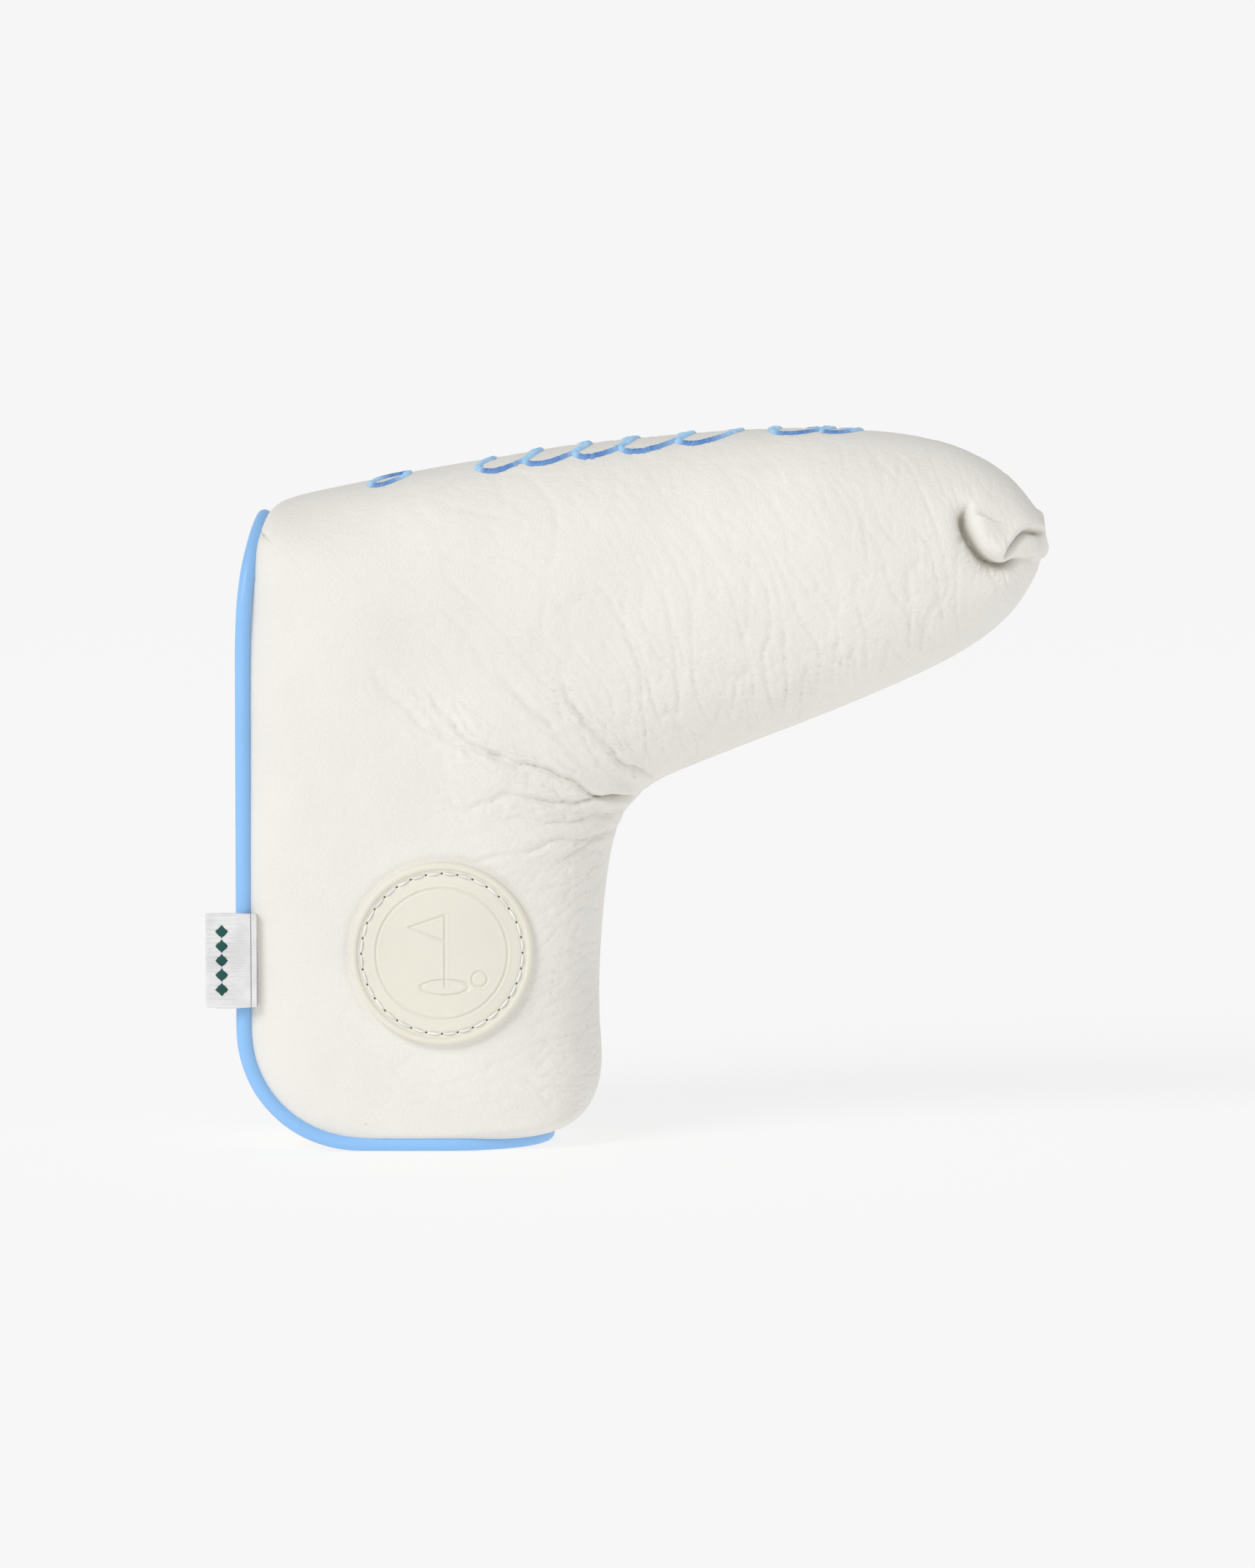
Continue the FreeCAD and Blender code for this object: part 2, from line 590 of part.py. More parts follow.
def cloud(lobes, inset):
    """A cloud seen from above: round lobes down the front and back of the spine, joined in the middle."""
    discs = []
    for x, radius, sides in lobes:
        for side in sides:
            centre = Vec(x, side * (CLOUD_REACH - radius), CLOUD_FLOOR)
            discs.append(Part.makeCylinder(radius - inset, FAR, centre, Vec(0, 0, 1)))
    if len(discs) == 1:
        return discs[0]
    first, last = min(lobe[0] for lobe in lobes), max(lobe[0] for lobe in lobes)
    core = CLOUD_CORE - inset
    middle = Part.makeBox(last - first, 2 * core, FAR, Vec(first, -core, CLOUD_FLOOR))
    return discs[0].multiFuse(discs[1:] + [middle])


# each lobe: where it is along the spine, its radius, and the sides it falls on (-1 front, 1 back)
CLOUDS = [
    [(-47.0, 3.6, (-1,))],
    [(-25.5, 5.3, (-1, 1)), (-16.2, 5.6, (-1, 1)), (-6.5, 5.3, (-1, 1)), (4.0, 6.8, (-1, 1))],
    [(17.0, 5.9, (-1, 1)), (25.0, 4.6, (-1, 1))],
    [(36.5, 5.6, (-1, 1)), (43.5, 4.0, (-1, 1))],
]
thread_layer = boot(-size("embroidery_thick")).cut(boot(0))
bands = []
for lobes in CLOUDS:
    band = cloud(lobes, 0).cut(cloud(lobes, size("embroidery_width")))
    bands += thread_layer.common(band).Solids
add_piece("spine_embroidery", Part.makeCompound([band for band in bands if band.Volume > 0.5]))

# ---------------------------------------------------------------- the woven side tag
tag_body = doc.addObject("PartDesign::Body", "side_tag")
tag_body.Label = "side_tag"
floor_plane = next(f for f in tag_body.Origin.OriginFeatures if f.Role == "XY_Plane")
tag_sketch = tag_body.newObject("Sketcher::SketchObject", "tag_outline")
tag_sketch.AttachmentSupport = [(floor_plane, "")]
tag_sketch.MapMode = "FlatFace"
tag_sketch.setExpression("AttachmentOffset.Base.z", "Dimensions.tag_low")
thick = size("folded_ribbon")
left, right, front = size("tag_left"), size("tag_right"), size("tag_front")
rear = front + thick
outline = [
    Part.LineSegment(Vec(right, front, 0), Vec(left + thick / 2, front, 0)),
    Part.ArcOfCircle(
        Part.Circle(Vec(left + thick / 2, front + thick / 2, 0), Vec(0, 0, 1), thick / 2),
        math.pi / 2,
        3 * math.pi / 2,
    ),
    Part.LineSegment(Vec(left + thick / 2, rear, 0), Vec(right, rear, 0)),
    Part.LineSegment(Vec(right, rear, 0), Vec(right, front, 0)),
]
tag_sketch.addGeometry(outline, False)
tag_sketch.addConstraint(
    [
        Sketcher.Constraint("Tangent", 0, 2, 1, 2),
        Sketcher.Constraint("Tangent", 1, 1, 2, 1),
        Sketcher.Constraint("Coincident", 2, 2, 3, 1),
        Sketcher.Constraint("Coincident", 3, 2, 0, 1),
        Sketcher.Constraint("Horizontal", 0),
        Sketcher.Constraint("Vertical", 3),
    ]
)
run = right - left - thick / 2
run_from_sheet = "Dimensions.tag_right - Dimensions.tag_left - Dimensions.folded_ribbon / 2"
sizes_of_outline = [
    (Sketcher.Constraint("DistanceX", 0, 2, 0, 1, run), run_from_sheet),
    (Sketcher.Constraint("DistanceY", 3, 2, 3, 1, thick), "Dimensions.folded_ribbon"),
    (Sketcher.Constraint("DistanceX", 0, 1, -1, 1, -right), "-Dimensions.tag_right"),
    (Sketcher.Constraint("DistanceY", 0, 1, -1, 1, -front), "-Dimensions.tag_front"),
]
for constraint, from_sheet in sizes_of_outline:
    number = tag_sketch.addConstraint(constraint)
    tag_sketch.setExpression(f"Constraints[{number}]", from_sheet)
doc.recompute()
tag_pad = tag_body.newObject("PartDesign::Pad", "tag_length")
tag_pad.Profile = tag_sketch
tag_pad.setExpression("Length", "Dimensions.tag_height")
doc.recompute()
nodes.append(tag_body)

# The tag's root is the ribbon's end, sewn into the seam; it stops where the leather or the piping begins.
ROOT_CLEAR = 0.1        # between the moving tag and its root
ROOT_EXTRA = 0.6        # how far the root reaches past the leather's face before it is trimmed
tag_middle_z = size("tag_low") + size("tag_height") / 2
root_face = face_depth(upper.common(front_half()), right + size("ribbon"), tag_middle_z, False)
root_corner = Vec(right + ROOT_CLEAR, front + ROOT_CLEAR, size("tag_low"))
root_depth = root_face - root_corner.y + ROOT_EXTRA
tag_root = Part.makeBox(2 * size("ribbon"), root_depth, size("tag_height"), root_corner)
add_piece("tag_root", solids_of(tag_root.cut(boot(0)).cut(piping_solid)))

diamonds = []
for number in range(5):
    diamond = doc.addObject("Part::Box", f"tag_diamond_{number + 1}")
    diamond.setExpression("Length", "Dimensions.diamond")
    diamond.setExpression("Width", "Dimensions.diamond_thick")
    diamond.setExpression("Height", "Dimensions.diamond")
    diamond.Placement.Rotation = FreeCAD.Rotation(Vec(0, 1, 0), 45)
    diamond.setExpression("Placement.Base.x", "Dimensions.tag_left + Dimensions.diamond_x")
    diamond.setExpression("Placement.Base.y", "Dimensions.tag_front - Dimensions.diamond_thick")
    step = f"{number} * Dimensions.diamond_pitch"
    diamond.setExpression("Placement.Base.z", f"Dimensions.tag_low + Dimensions.diamond_low + {step}")
    diamonds.append(diamond)
tag_pattern = doc.addObject("Part::Compound", "tag_pattern")
tag_pattern.Label = "tag_pattern"
tag_pattern.Links = diamonds
nodes.append(tag_pattern)
doc.recompute()

# ---------------------------------------------------------------- check and write
faults = [item.Label for item in doc.Objects if {"Invalid", "Error"} & set(item.State)]
for piece in nodes:
    if piece.Shape.isNull() or not piece.Shape.isValid() or not piece.Shape.Solids:
        faults.append(piece.Label)
if faults:
    raise SystemExit("pieces that failed: " + ", ".join(faults))

os.makedirs("parts", exist_ok=True)
for piece in nodes:
    piece.Shape.exportStep(f"parts/{piece.Label}.step")
    grams = sum(solid.Volume for solid in piece.Shape.Solids) / 1000
    print(f"{piece.Label:20s} solids {len(piece.Shape.Solids):3d}  volume {grams:8.3f} cm3")
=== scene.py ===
"""The looks of a padded blade putter cover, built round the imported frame. Sizes are in millimetres until
a mesh is made, and X runs along the neck, Y to the back and Z up, as in the frame."""
import math

import bpy
import numpy as np
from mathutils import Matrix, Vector
from mathutils.bvhtree import BVHTree


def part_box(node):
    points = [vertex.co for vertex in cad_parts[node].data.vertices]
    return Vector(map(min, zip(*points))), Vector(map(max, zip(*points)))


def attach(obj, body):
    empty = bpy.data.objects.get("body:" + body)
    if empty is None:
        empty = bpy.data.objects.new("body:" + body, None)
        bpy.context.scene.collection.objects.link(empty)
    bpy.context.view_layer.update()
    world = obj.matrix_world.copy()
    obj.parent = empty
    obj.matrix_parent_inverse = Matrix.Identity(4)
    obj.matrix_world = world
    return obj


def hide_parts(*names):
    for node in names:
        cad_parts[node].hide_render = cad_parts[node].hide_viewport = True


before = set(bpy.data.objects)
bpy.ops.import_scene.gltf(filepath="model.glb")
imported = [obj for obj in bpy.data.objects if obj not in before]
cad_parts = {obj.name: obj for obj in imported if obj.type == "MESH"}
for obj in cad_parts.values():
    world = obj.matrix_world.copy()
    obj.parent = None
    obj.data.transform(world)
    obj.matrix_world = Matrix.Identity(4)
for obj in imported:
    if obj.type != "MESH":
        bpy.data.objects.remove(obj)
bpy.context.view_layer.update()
MM = 0.001
PIECES = []     # each visible piece, the body it rides, the CAD nodes it stands for, and its material


def mm_box(node):
    """A CAD node's lowest and highest corner, in millimetres."""
    low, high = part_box(node)
    return np.array(low) / MM, np.array(high) / MM


patch_low, patch_high = mm_box("round_patch")
tag_low, tag_high = mm_box("side_tag")
flap_low, flap_high = mm_box("flap_leather")
binding_low, binding_high = mm_box("mouth_binding")

# ------------------------------------------------------------------ numbers that the pieces share
SOLE_X = mm_box("sole_strip")[0][0]     # outer face of the sole strip
EDGE_IN = 2.1                           # the leather panels' edge lies this far inside that face
TOE_RADIUS = 24.0
LEAN_Z, LEAN = 93.0, 1.16e-4            # the sole curves away above this height, with its cube
SEAM_FRONT, SEAM_BACK = -20.6, 18.0
SEAM_MIDDLE = (SEAM_FRONT + SEAM_BACK) / 2
SEAM_HALF = (SEAM_BACK - SEAM_FRONT) / 2
TOE_END_X = -35.0                       # the sole strip's round ends start here
HEEL_END_Z = 124.2 - SEAM_HALF
PIPING_R, CORD_R = 1.5, 0.85
INNER_X, INNER_Z, NECK_Z = 3.0, 68.0, 105.0     # the inner corner, and the neck's middle above it
NECK_TILT = math.radians(13.5)
NECK_AXIS = np.array([math.cos(NECK_TILT), 0, math.sin(NECK_TILT)])
PATCH = np.array([(patch_low[0] + patch_high[0]) / 2, (patch_low[2] + patch_high[2]) / 2])
PATCH_R = (patch_high[0] - patch_low[0]) / 2


# ------------------------------------------------------------------ small maths
def smooth(low, high, value):
    """0 below low, 1 above high, eased between."""
    t = np.clip((value - low) / (high - low), 0, 1)
    return t * t * (3 - 2 * t)


def spline(points, places):
    """A natural cubic spline through rows of numbers, read at places counted in rows."""
    points = np.asarray(points, float)
    n = len(points) - 1
    matrix = np.eye(n + 1)
    right = np.zeros_like(points)
    for k in range(1, n):
        matrix[k, k - 1 : k + 2] = 1, 4, 1
        right[k] = 6 * (points[k + 1] - 2 * points[k] + points[k - 1])
    second = np.linalg.solve(matrix, right)
    at = np.asarray(places, float)
    k = np.clip(at.astype(int), 0, n - 1)
    f = (at - k)[:, None]
    a, b = points[k], points[k + 1]
    return a * (1 - f) + b * f + ((f**3 - f) * second[k + 1] + ((1 - f) ** 3 - (1 - f)) * second[k]) / 6


def lattice(cells, seed):
    """A repeatable pseudo-random gradient for each lattice cell."""
    h = cells[..., 0] * 374761393 + cells[..., 1] * 668265263 + cells[..., 2] * 2147483647 + seed * 974711
    h = (h ^ (h >> 13)) * 1274126177
    h = h ^ (h >> 16)
    angle = (h & 0xFFFF) / 65536.0 * 2 * np.pi
    height = ((h >> 16) & 0xFFFF) / 32768.0 - 1.0
    flat = np.sqrt(np.maximum(1 - height**2, 0))
    return np.stack([np.cos(angle) * flat, np.sin(angle) * flat, height], -1)


def noise(points, seed=0):
    """Gradient noise, about -1 to 1, at rows of three coordinates."""
    base = np.floor(points).astype(np.int64)
    f = points - base
    w = f * f * f * (f * (f * 6 - 15) + 10)
    total = np.zeros(points.shape[:-1])
    for corner in range(8):
        step = np.array([corner & 1, (corner >> 1) & 1, corner >> 2])
        share = np.prod(np.where(step, w, 1 - w), -1)
        total += share * np.sum(lattice(base + step, seed) * (f - step), -1)
    return total * 1.6


def ridged(points, seed=0, sharp=4.5):
    """Sharp thin valleys where gradient noise crosses zero: 1 in a valley, 0 away from it."""
    return np.clip(1 - np.abs(noise(points, seed)) * sharp, 0, 1) ** 1.5


def travelled(line):
    """How far along a line each of its points lies."""
    return np.r_[0, np.cumsum(np.linalg.norm(np.diff(line, axis=0), axis=1))]


def read_along(travel, line, at):
    """Points of a line at given distances along it."""
    return np.stack([np.interp(at, travel, line[:, k]) for k in range(line.shape[1])], -1)


def add_mesh(name, vertices, faces):
    """A smooth-shaded mesh object from points in millimetres."""
    mesh = bpy.data.meshes.new(name)
    mesh.from_pydata((np.asarray(vertices) * MM).tolist(), [], [list(map(int, f)) for f in faces])
    mesh.validate()
    mesh.polygons.foreach_set("use_smooth", np.ones(len(mesh.polygons), bool))
    made = bpy.data.objects.new(name, mesh)
    bpy.context.scene.collection.objects.link(made)
    return made


def grid_mesh(name, grid, closed=False):
    """A mesh object from a grid of points."""
    return add_mesh(name, grid.reshape(-1, 3), grid_faces(*grid.shape[:2], closed).tolist())


def mark(obj, name, values):
    """Writes a number on each vertex, for a material to read."""
    marks = obj.data.attributes.new(name, "FLOAT", "POINT")
    marks.data.foreach_set("value", np.asarray(values, np.float32))


def grid_faces(rows, cols, closed=False):
    """Faces of a grid of rows by cols points; closed joins the last column to the first."""
    r = np.arange(rows - 1)[:, None]
    c = np.arange(cols if closed else cols - 1)[None, :]
    after = (c + 1) % cols
    quads = [r * cols + c, r * cols + after, (r + 1) * cols + after, (r + 1) * cols + c]
    return np.stack(quads, -1).reshape(-1, 4)


def grid_normals(grid):
    """Outward normals of a grid of points, from its neighbours."""
    along = np.gradient(grid, axis=0)
    across = np.gradient(grid, axis=1)
    n = np.cross(along, across)
    length = np.linalg.norm(n, axis=-1, keepdims=True)
    return n / np.maximum(length, 1e-9)


# ------------------------------------------------------------------ the boot's surface
def edge_x(z, inset=EDGE_IN):
    """The sole face's X at a height, with the toe corner's arc and the lean near the heel."""
    left = SOLE_X + inset
    radius = TOE_RADIUS - inset
    down = np.clip(radius - (z - inset), 0, radius)
    arc = radius - np.sqrt(np.maximum(radius**2 - down**2, 0))
    lean = LEAN * np.maximum(z - LEAN_Z, 0) ** 3
    return left + arc + lean


def corner(turn):
    """A point of the leather's edge round the toe corner: turn 0 at the toe end, 90 on the sole."""
    radius = TOE_RADIUS - EDGE_IN
    a = math.radians(turn)
    return (SOLE_X + TOE_RADIUS - radius * math.sin(a), TOE_RADIUS - radius * math.cos(a))


def sole(z):
    return (float(edge_x(np.array(z))), z)


# Cross-sections from the toe end, up the pocket, round the inner corner and along the neck: the crown side's
# x and z; the x and z of the edge at the sole, or of the spine; reach past the edge; front and back depths
TOE = EDGE_IN
SECTIONS = [
    ((-14.4, 2.8), (-15.5, TOE), 2.0, 3.0, 3.0),
    ((-12.4, 3.3), (-19.0, TOE), 4.0, 11.6, 10.2),
    ((-10.6, 4.3), (-26.0, TOE), 6.0, 18.2, 16.0),
    ((-8.5, 6.0), (-38.0, TOE), 8.0, 22.0, 19.4),
    ((-6.7, 8.8), corner(4), 10.0, 22.9, 20.4),
    ((-5.6, 13.0), corner(40), 11.0, 23.8, 21.0),
    ((-5.3, 19.0), corner(80), 11.5, 24.2, 21.0),
    ((-5.6, 30.0), sole(36), 11.5, 24.4, 21.0),
    ((-5.0, 43.0), sole(56), 11.5, 24.6, 21.0),
    ((-3.9, 53.5), sole(76), 11.5, 24.4, 21.0),
    ((-2.6, 60.5), sole(94), 11.5, 24.4, 21.0),
    ((-0.9, 65.0), sole(109), 10.5, 24.2, 21.0),
    ((1.0, 67.8), sole(119), 7.5, 24.0, 21.0),
    ((2.2, 69.0), (-71.2, 124.2), 3.6, 23.9, 21.0),
    ((3.1, 69.8), (-69.2, 126.7), 1.4, 23.8, 21.0),
    ((4.6, 70.9), (-63.2, 128.8), 0.3, 23.7, 21.0),
    ((7.4, 72.4), (-50.0, 131.6), 0.0, 23.5, 21.2),
    ((12.0, 74.4), (-31.0, 135.1), 0.0, 23.2, 21.2),
    ((20.0, 77.6), (-7.0, 138.6), 0.0, 22.6, 21.2),
    ((32.0, 82.2), (15.0, 140.9), 0.0, 22.0, 21.2),
    ((44.0, 87.0), (33.5, 141.6), 0.0, 21.2, 20.7),
    ((56.0, 92.2), (49.5, 141.2), 0.0, 20.2, 19.8),
    ((65.5, 96.9), (61.0, 139.4), 0.0, 18.6, 18.2),
    ((72.5, 101.7), (68.6, 136.6), 0.0, 17.2, 16.6),
    ((77.0, 106.2), (73.4, 133.8), 0.0, 15.4, 14.8),
    ((79.8, 110.4), (76.6, 131.2), 0.0, 13.6, 13.2),
    ((81.6, 113.8), (79.4, 128.0), 0.0, 11.6, 11.4),
    ((82.2, 115.6), (81.0, 125.8), 0.0, 10.0, 10.0),
]
POCKET_POWER, NECK_POWER = 3.0, 2.25     # how square the sections are
HEEL_ROW = 13           # the section where the edge leaves the sole
EDGE_ROUND = 2.4        # radius of the rolled edge beside the piping
WINDOW = SEAM_HALF - 2.6    # half the width of the gap that the sole strip covers
EDGE_DENSER = 0.6       # how much closer the columns lie beside the edge


def window_half(x, z):
    """Half the width of the gap in the leather behind the sole strip, at a place on its edge."""
    past_toe = np.where(z < TOE_RADIUS, np.maximum(x - TOE_END_X, 0), 0)
    past = np.where(z > HEEL_END_Z, z - HEEL_END_Z, past_toe)
    return np.sqrt(np.maximum(WINDOW**2 - past**2, 0))


def half_row(length, reach, depth, power, start_y, count):
    """One side of a section: from the gap or spine round the rolled edge and over the panel to the crown.
    Returns distances from the crown side and depths, both positive."""
    a = (length + reach) / 2
    turn = np.linspace(0, 1, 160)
    last = np.clip((length - a) / a, -1, 1)
    first_angle = math.acos(np.sign(last) * abs(last) ** (power / 2))
    angle = first_angle + (math.pi - first_angle) * turn
    u = np.sign(np.cos(angle)) * np.abs(np.cos(angle)) ** (2 / power)
    y = depth * np.abs(np.sin(angle)) ** (2 / power)
    line = np.stack([a + a * u, y], -1)
    corner_y = line[0, 1]
    if corner_y > start_y + 0.05:
        r = min(EDGE_ROUND, (corner_y - start_y) * 0.8)
        away = travelled(line)
        first = np.array([np.interp(r, away, line[:, 0]), np.interp(r, away, line[:, 1])])
        tip = line[0].copy()
        low = np.array([length, corner_y - r])
        t = np.linspace(0, 1, 14)[:, None]
        bend = low * (1 - t) ** 2 + 2 * tip * t * (1 - t) + first * t**2
        flange = np.linspace([length, start_y], low, 6)[:-1]
        line = np.vstack([flange, bend, line[away > r]])
    away = travelled(line)
    weight = np.cumsum(np.r_[0, np.diff(away) * (1 + EDGE_DENSER * np.exp(-away[1:] / 5.0))])
    return read_along(weight, line, np.linspace(0, weight[-1], count))


def row_places(rows):
    """Where the rows lie along the list of sections: about evenly spaced along the middle of the boot."""
    fine = np.linspace(0, len(SECTIONS) - 1, 1200)
    crown = spline([s[0] for s in SECTIONS], fine)
    edge = spline([s[1] for s in SECTIONS], fine)
    crown_step = np.linalg.norm(np.diff(crown, axis=0), axis=1)
    step = 0.45 * crown_step + 0.55 * np.linalg.norm(np.diff(edge, axis=0), axis=1)
    tip = 1 + 0.9 * smooth(20.5, 23.5, fine[1:]) + 1.0 * (1 - smooth(0, 5, fine[1:]))
    away = np.cumsum(np.r_[0, step * tip])
    return np.interp(np.linspace(0, away[-1], rows), away, fine)


def boot_grid(rows, front, back):
    """Points of the boot's face, rows by (front + back - 1) columns, and the rows' places in SECTIONS."""
    places = row_places(rows)
    crown = spline([s[0] for s in SECTIONS], places)
    edge = spline([s[1] for s in SECTIONS], places)
    rest = spline([s[2:] for s in SECTIONS], places)
    grid = np.zeros((rows, front + back - 1, 3))
    for k, at in enumerate(places):
        if at < HEEL_ROW - 1:
            edge[k] = edge_point(edge[k])
        across = edge[k] - crown[k]
        length = max(np.linalg.norm(across), 1e-6)
        across = across / length
        reach = max(rest[k, 0], 0.0)
        power = POCKET_POWER + (NECK_POWER - POCKET_POWER) * smooth(11, 19, at)
        start = window_half(edge[k, 0], edge[k, 1]) if at < HEEL_ROW else 0.0
        sides = []
        for side, depth, count in ((-1, rest[k, 1], front), (1, rest[k, 2], back)):
            gap = max((SEAM_MIDDLE + side * start) * side, 0.0) if start > 0 else 0.0
            line = half_row(max(length, 0.5), reach, max(depth, 0.3), power, gap, count)
            xz = crown[k] + across * line[:, :1]
            sides.append(np.stack([xz[:, 0], side * line[:, 1], xz[:, 1]], -1))
        grid[k] = np.vstack([sides[0], sides[1][::-1][1:]])
    return grid, places


def edge_point(found):
    """Puts a point of the edge back on the sole and toe faces, which the spline only nearly follows."""
    x, z = found
    if x > SOLE_X + TOE_RADIUS:
        return np.array([x, TOE - 0.5 * float(smooth(-42, -22, x))])
    middle = np.array([SOLE_X + TOE_RADIUS, TOE_RADIUS])
    if z < TOE_RADIUS and x < SOLE_X + TOE_RADIUS:
        away = found - middle
        return middle + away / np.linalg.norm(away) * (TOE_RADIUS - EDGE_IN)
    return np.array([float(edge_x(np.array(z))), z])


# the slit that the neck's open end closes to: half its height and width, its lip, and its middle
SLIT_HALF, SLIT_SIDE, LIP = 2.2, 7.6, 1.9
TIP_CENTRE = np.array([81.0, 0.0, 120.9])
SLIT_ROWS = 8      # rows that run 1 mm apart into the slit


def tip_rows(last_row, count):
    """The rolled lip at the neck's open end: from the last section over a round edge and into the slit."""
    rows = []
    spine_way = np.array([-math.sin(NECK_TILT), 0, math.cos(NECK_TILT)])
    out = last_row - TIP_CENTRE
    up, side = out @ spine_way, out[:, 1]
    turn = np.arctan2(side / 10.0, up / 5.5)
    slit_up, slit_side = SLIT_HALF * np.cos(turn), SLIT_SIDE * np.sin(turn)
    for k in range(1, count + 1):
        a = math.pi * k / count
        share = 1 - math.sin(a / 2)
        height = slit_up + (up - slit_up) * share
        width = slit_side + (side - slit_side) * share
        forward = LIP * math.sin(a) * (0.75 + 0.25 * np.cos(turn) ** 2) + (out @ NECK_AXIS) * share
        row = TIP_CENTRE + spine_way * height[:, None] + NECK_AXIS * forward[:, None]
        rows.append(row + np.array([0, 1, 0]) * width[:, None])
    for k in range(1, SLIT_ROWS + 1):
        rows.append(rows[count - 1] - NECK_AXIS * k)
    return np.array(rows)


# ------------------------------------------------------------------ creases
# Each fold: its path (x, z), greatest depth, half width, height of the swollen sides
FOLDS = [
    ([(2.6, 69.6), (-3, 69.3), (-6.8, 70.4), (-11.6, 73.8), (-16.4, 75.8), (-23, 77), (-31.6, 81.9),
      (-38.3, 89.7), (-43.8, 95.2)], 1.7, 0.62, 0.5),
    ([(1.6, 69.3), (-8.7, 69.1), (-14.2, 68.6), (-19.7, 70), (-25.2, 70), (-31.6, 68.3), (-40, 71)],
     1.3, 0.58, 0.42),
    ([(4.8, 72.4), (-1.3, 76.7), (-6.1, 81.9), (-9, 85.9), (-11.6, 90.4), (-15.0, 99.0)], 1.2, 0.6, 0.4),
    ([(-0.6, 63.2), (-6.8, 60.9), (-12.3, 57.8), (-19, 56.2)], 1.0, 0.7, 0.35),
    ([(-6, 61.8), (-14, 61.2), (-21.6, 59), (-31, 57.6), (-40, 58.6)], 0.7, 0.65, 0.3),
    ([(-14.9, 83.8), (-19.5, 88.5), (-24, 94), (-26.5, 100)], 0.6, 0.7, 0.25),
    ([(0.2, 66.2), (-5.5, 65.4), (-12, 64.6), (-20, 65.4), (-29, 64.2)], 0.8, 0.65, 0.3),
    ([(-24, 77.8), (-31, 79.5), (-40, 84.5), (-48, 92), (-52, 101)], 0.7, 0.7, 0.25),
]
CRINKLE_LEANS, CRINKLE_PITCH, CRINKLE_LONG = (0.28, -0.34), 1.5, 6.0
CRINKLE_DEPTH, CRINKLE_REACH = 0.20, 4.6
TIP_GROOVE = [(68.4, 128.2), (66.6, 126.2), (66.5, 123.6), (67.3, 121.0), (68.6, 118.7), (70.2, 116.6),
              (72.2, 115.3), (74.6, 114.9), (77.0, 115.8), (79.8, 116.2)]
TIP_CREASE = [(73.6, 115.9), (75.0, 118.3), (76.8, 120.5), (79.0, 122.0), (81.4, 121.7), (84.0, 121.6)]
BACK_PINCH = [(66.5, 113.5), (69.5, 117.5), (73.5, 119.5), (78.0, 120.3), (83.0, 121.0)]


def neck_place(x, z, from_z):
    """How far places lie along the neck, and up across it, from a point above the inner corner."""
    along = (x - INNER_X) * NECK_AXIS[0] + (z - from_z) * NECK_AXIS[2]
    return along, -(x - INNER_X) * NECK_AXIS[2] + (z - from_z) * NECK_AXIS[0]


def wandering(p, size, seed, reach):
    """Small sideways steps that make a straight path wander."""
    return np.stack([noise(p / size, seed), noise(p / size, seed + 1)], -1) * reach


def pebbled(p, seed):
    """Fine pebbles in the leather."""
    return ridged(np.stack([p[:, 0] / 2.4, p[:, 2] / 1.7, p[:, 1] / 2.0], -1), seed)


def valley(away, width):
    """The shape of a pressed crease: 1 on its line, and steep sides."""
    return np.exp(-((away / width) ** 1.4))


def hump(away, middle, width):
    """A soft round ridge at a distance from a line."""
    return np.exp(-(((away - middle) / width) ** 2))


def along_path(points, path):
    """For each point (x, z): the distance to a path, how far along it that is from 0 to 1, and the side."""
    path = spline(path, np.linspace(0, len(path) - 1, 50))
    best = np.full(len(points), 1e9)
    share = np.zeros(len(points))
    side = np.ones(len(points))
    lengths = travelled(path)
    for k in range(len(path) - 1):
        way = path[k + 1] - path[k]
        rel = points - path[k]
        t = np.clip(rel @ way / (way @ way), 0, 1)
        away = np.linalg.norm(rel - t[:, None] * way, axis=1)
        near = away < best
        best[near] = away[near]
        share[near] = (lengths[k] + t[near] * (lengths[k + 1] - lengths[k])) / lengths[-1]
        side[near] = np.sign(way[0] * rel[near, 1] - way[1] * rel[near, 0])
    return best, share, side


def fold_depth(points, path, depth, half, swell, wander):
    """A sharp valley along a path, deepest near its start, with swollen sides and a net of fine
    crinkles beside it."""
    away, share, side = along_path(points + wander, path)
    along = share * np.sum(np.linalg.norm(np.diff(np.array(path), axis=0), axis=1))
    across = side * away
    crinkles = 0
    start_z = np.full_like(along, path[0][1])
    for lean in CRINKLE_LEANS:
        net = np.stack([(across + lean * along) / CRINKLE_PITCH, along / CRINKLE_LONG, start_z], -1)
        crinkles = crinkles - CRINKLE_DEPTH * ridged(net, 21, 5.0)
    crinkles = crinkles * np.exp(-((away / CRINKLE_REACH) ** 2)) * smooth(0.03, 0.35, share)
    crinkles = crinkles * (0.35 + 0.65 * smooth(0.5, 1.5, depth)) * (1 - smooth(0.9, 1.0, share))
    strength = (1 - smooth(0.6, 1.0, share)) * (0.4 + 0.6 * (1 - share))
    width = half * (0.6 + 0.7 * share)
    fold = -0.85 * depth * valley(away, width)
    sides = swell * hump(away, 3.4 * width, 2.6 * width)
    second = -0.3 * depth * hump(away, 2.3, 0.45) * smooth(0.15, 0.4, share)
    return (fold + sides + second) * strength + crinkles


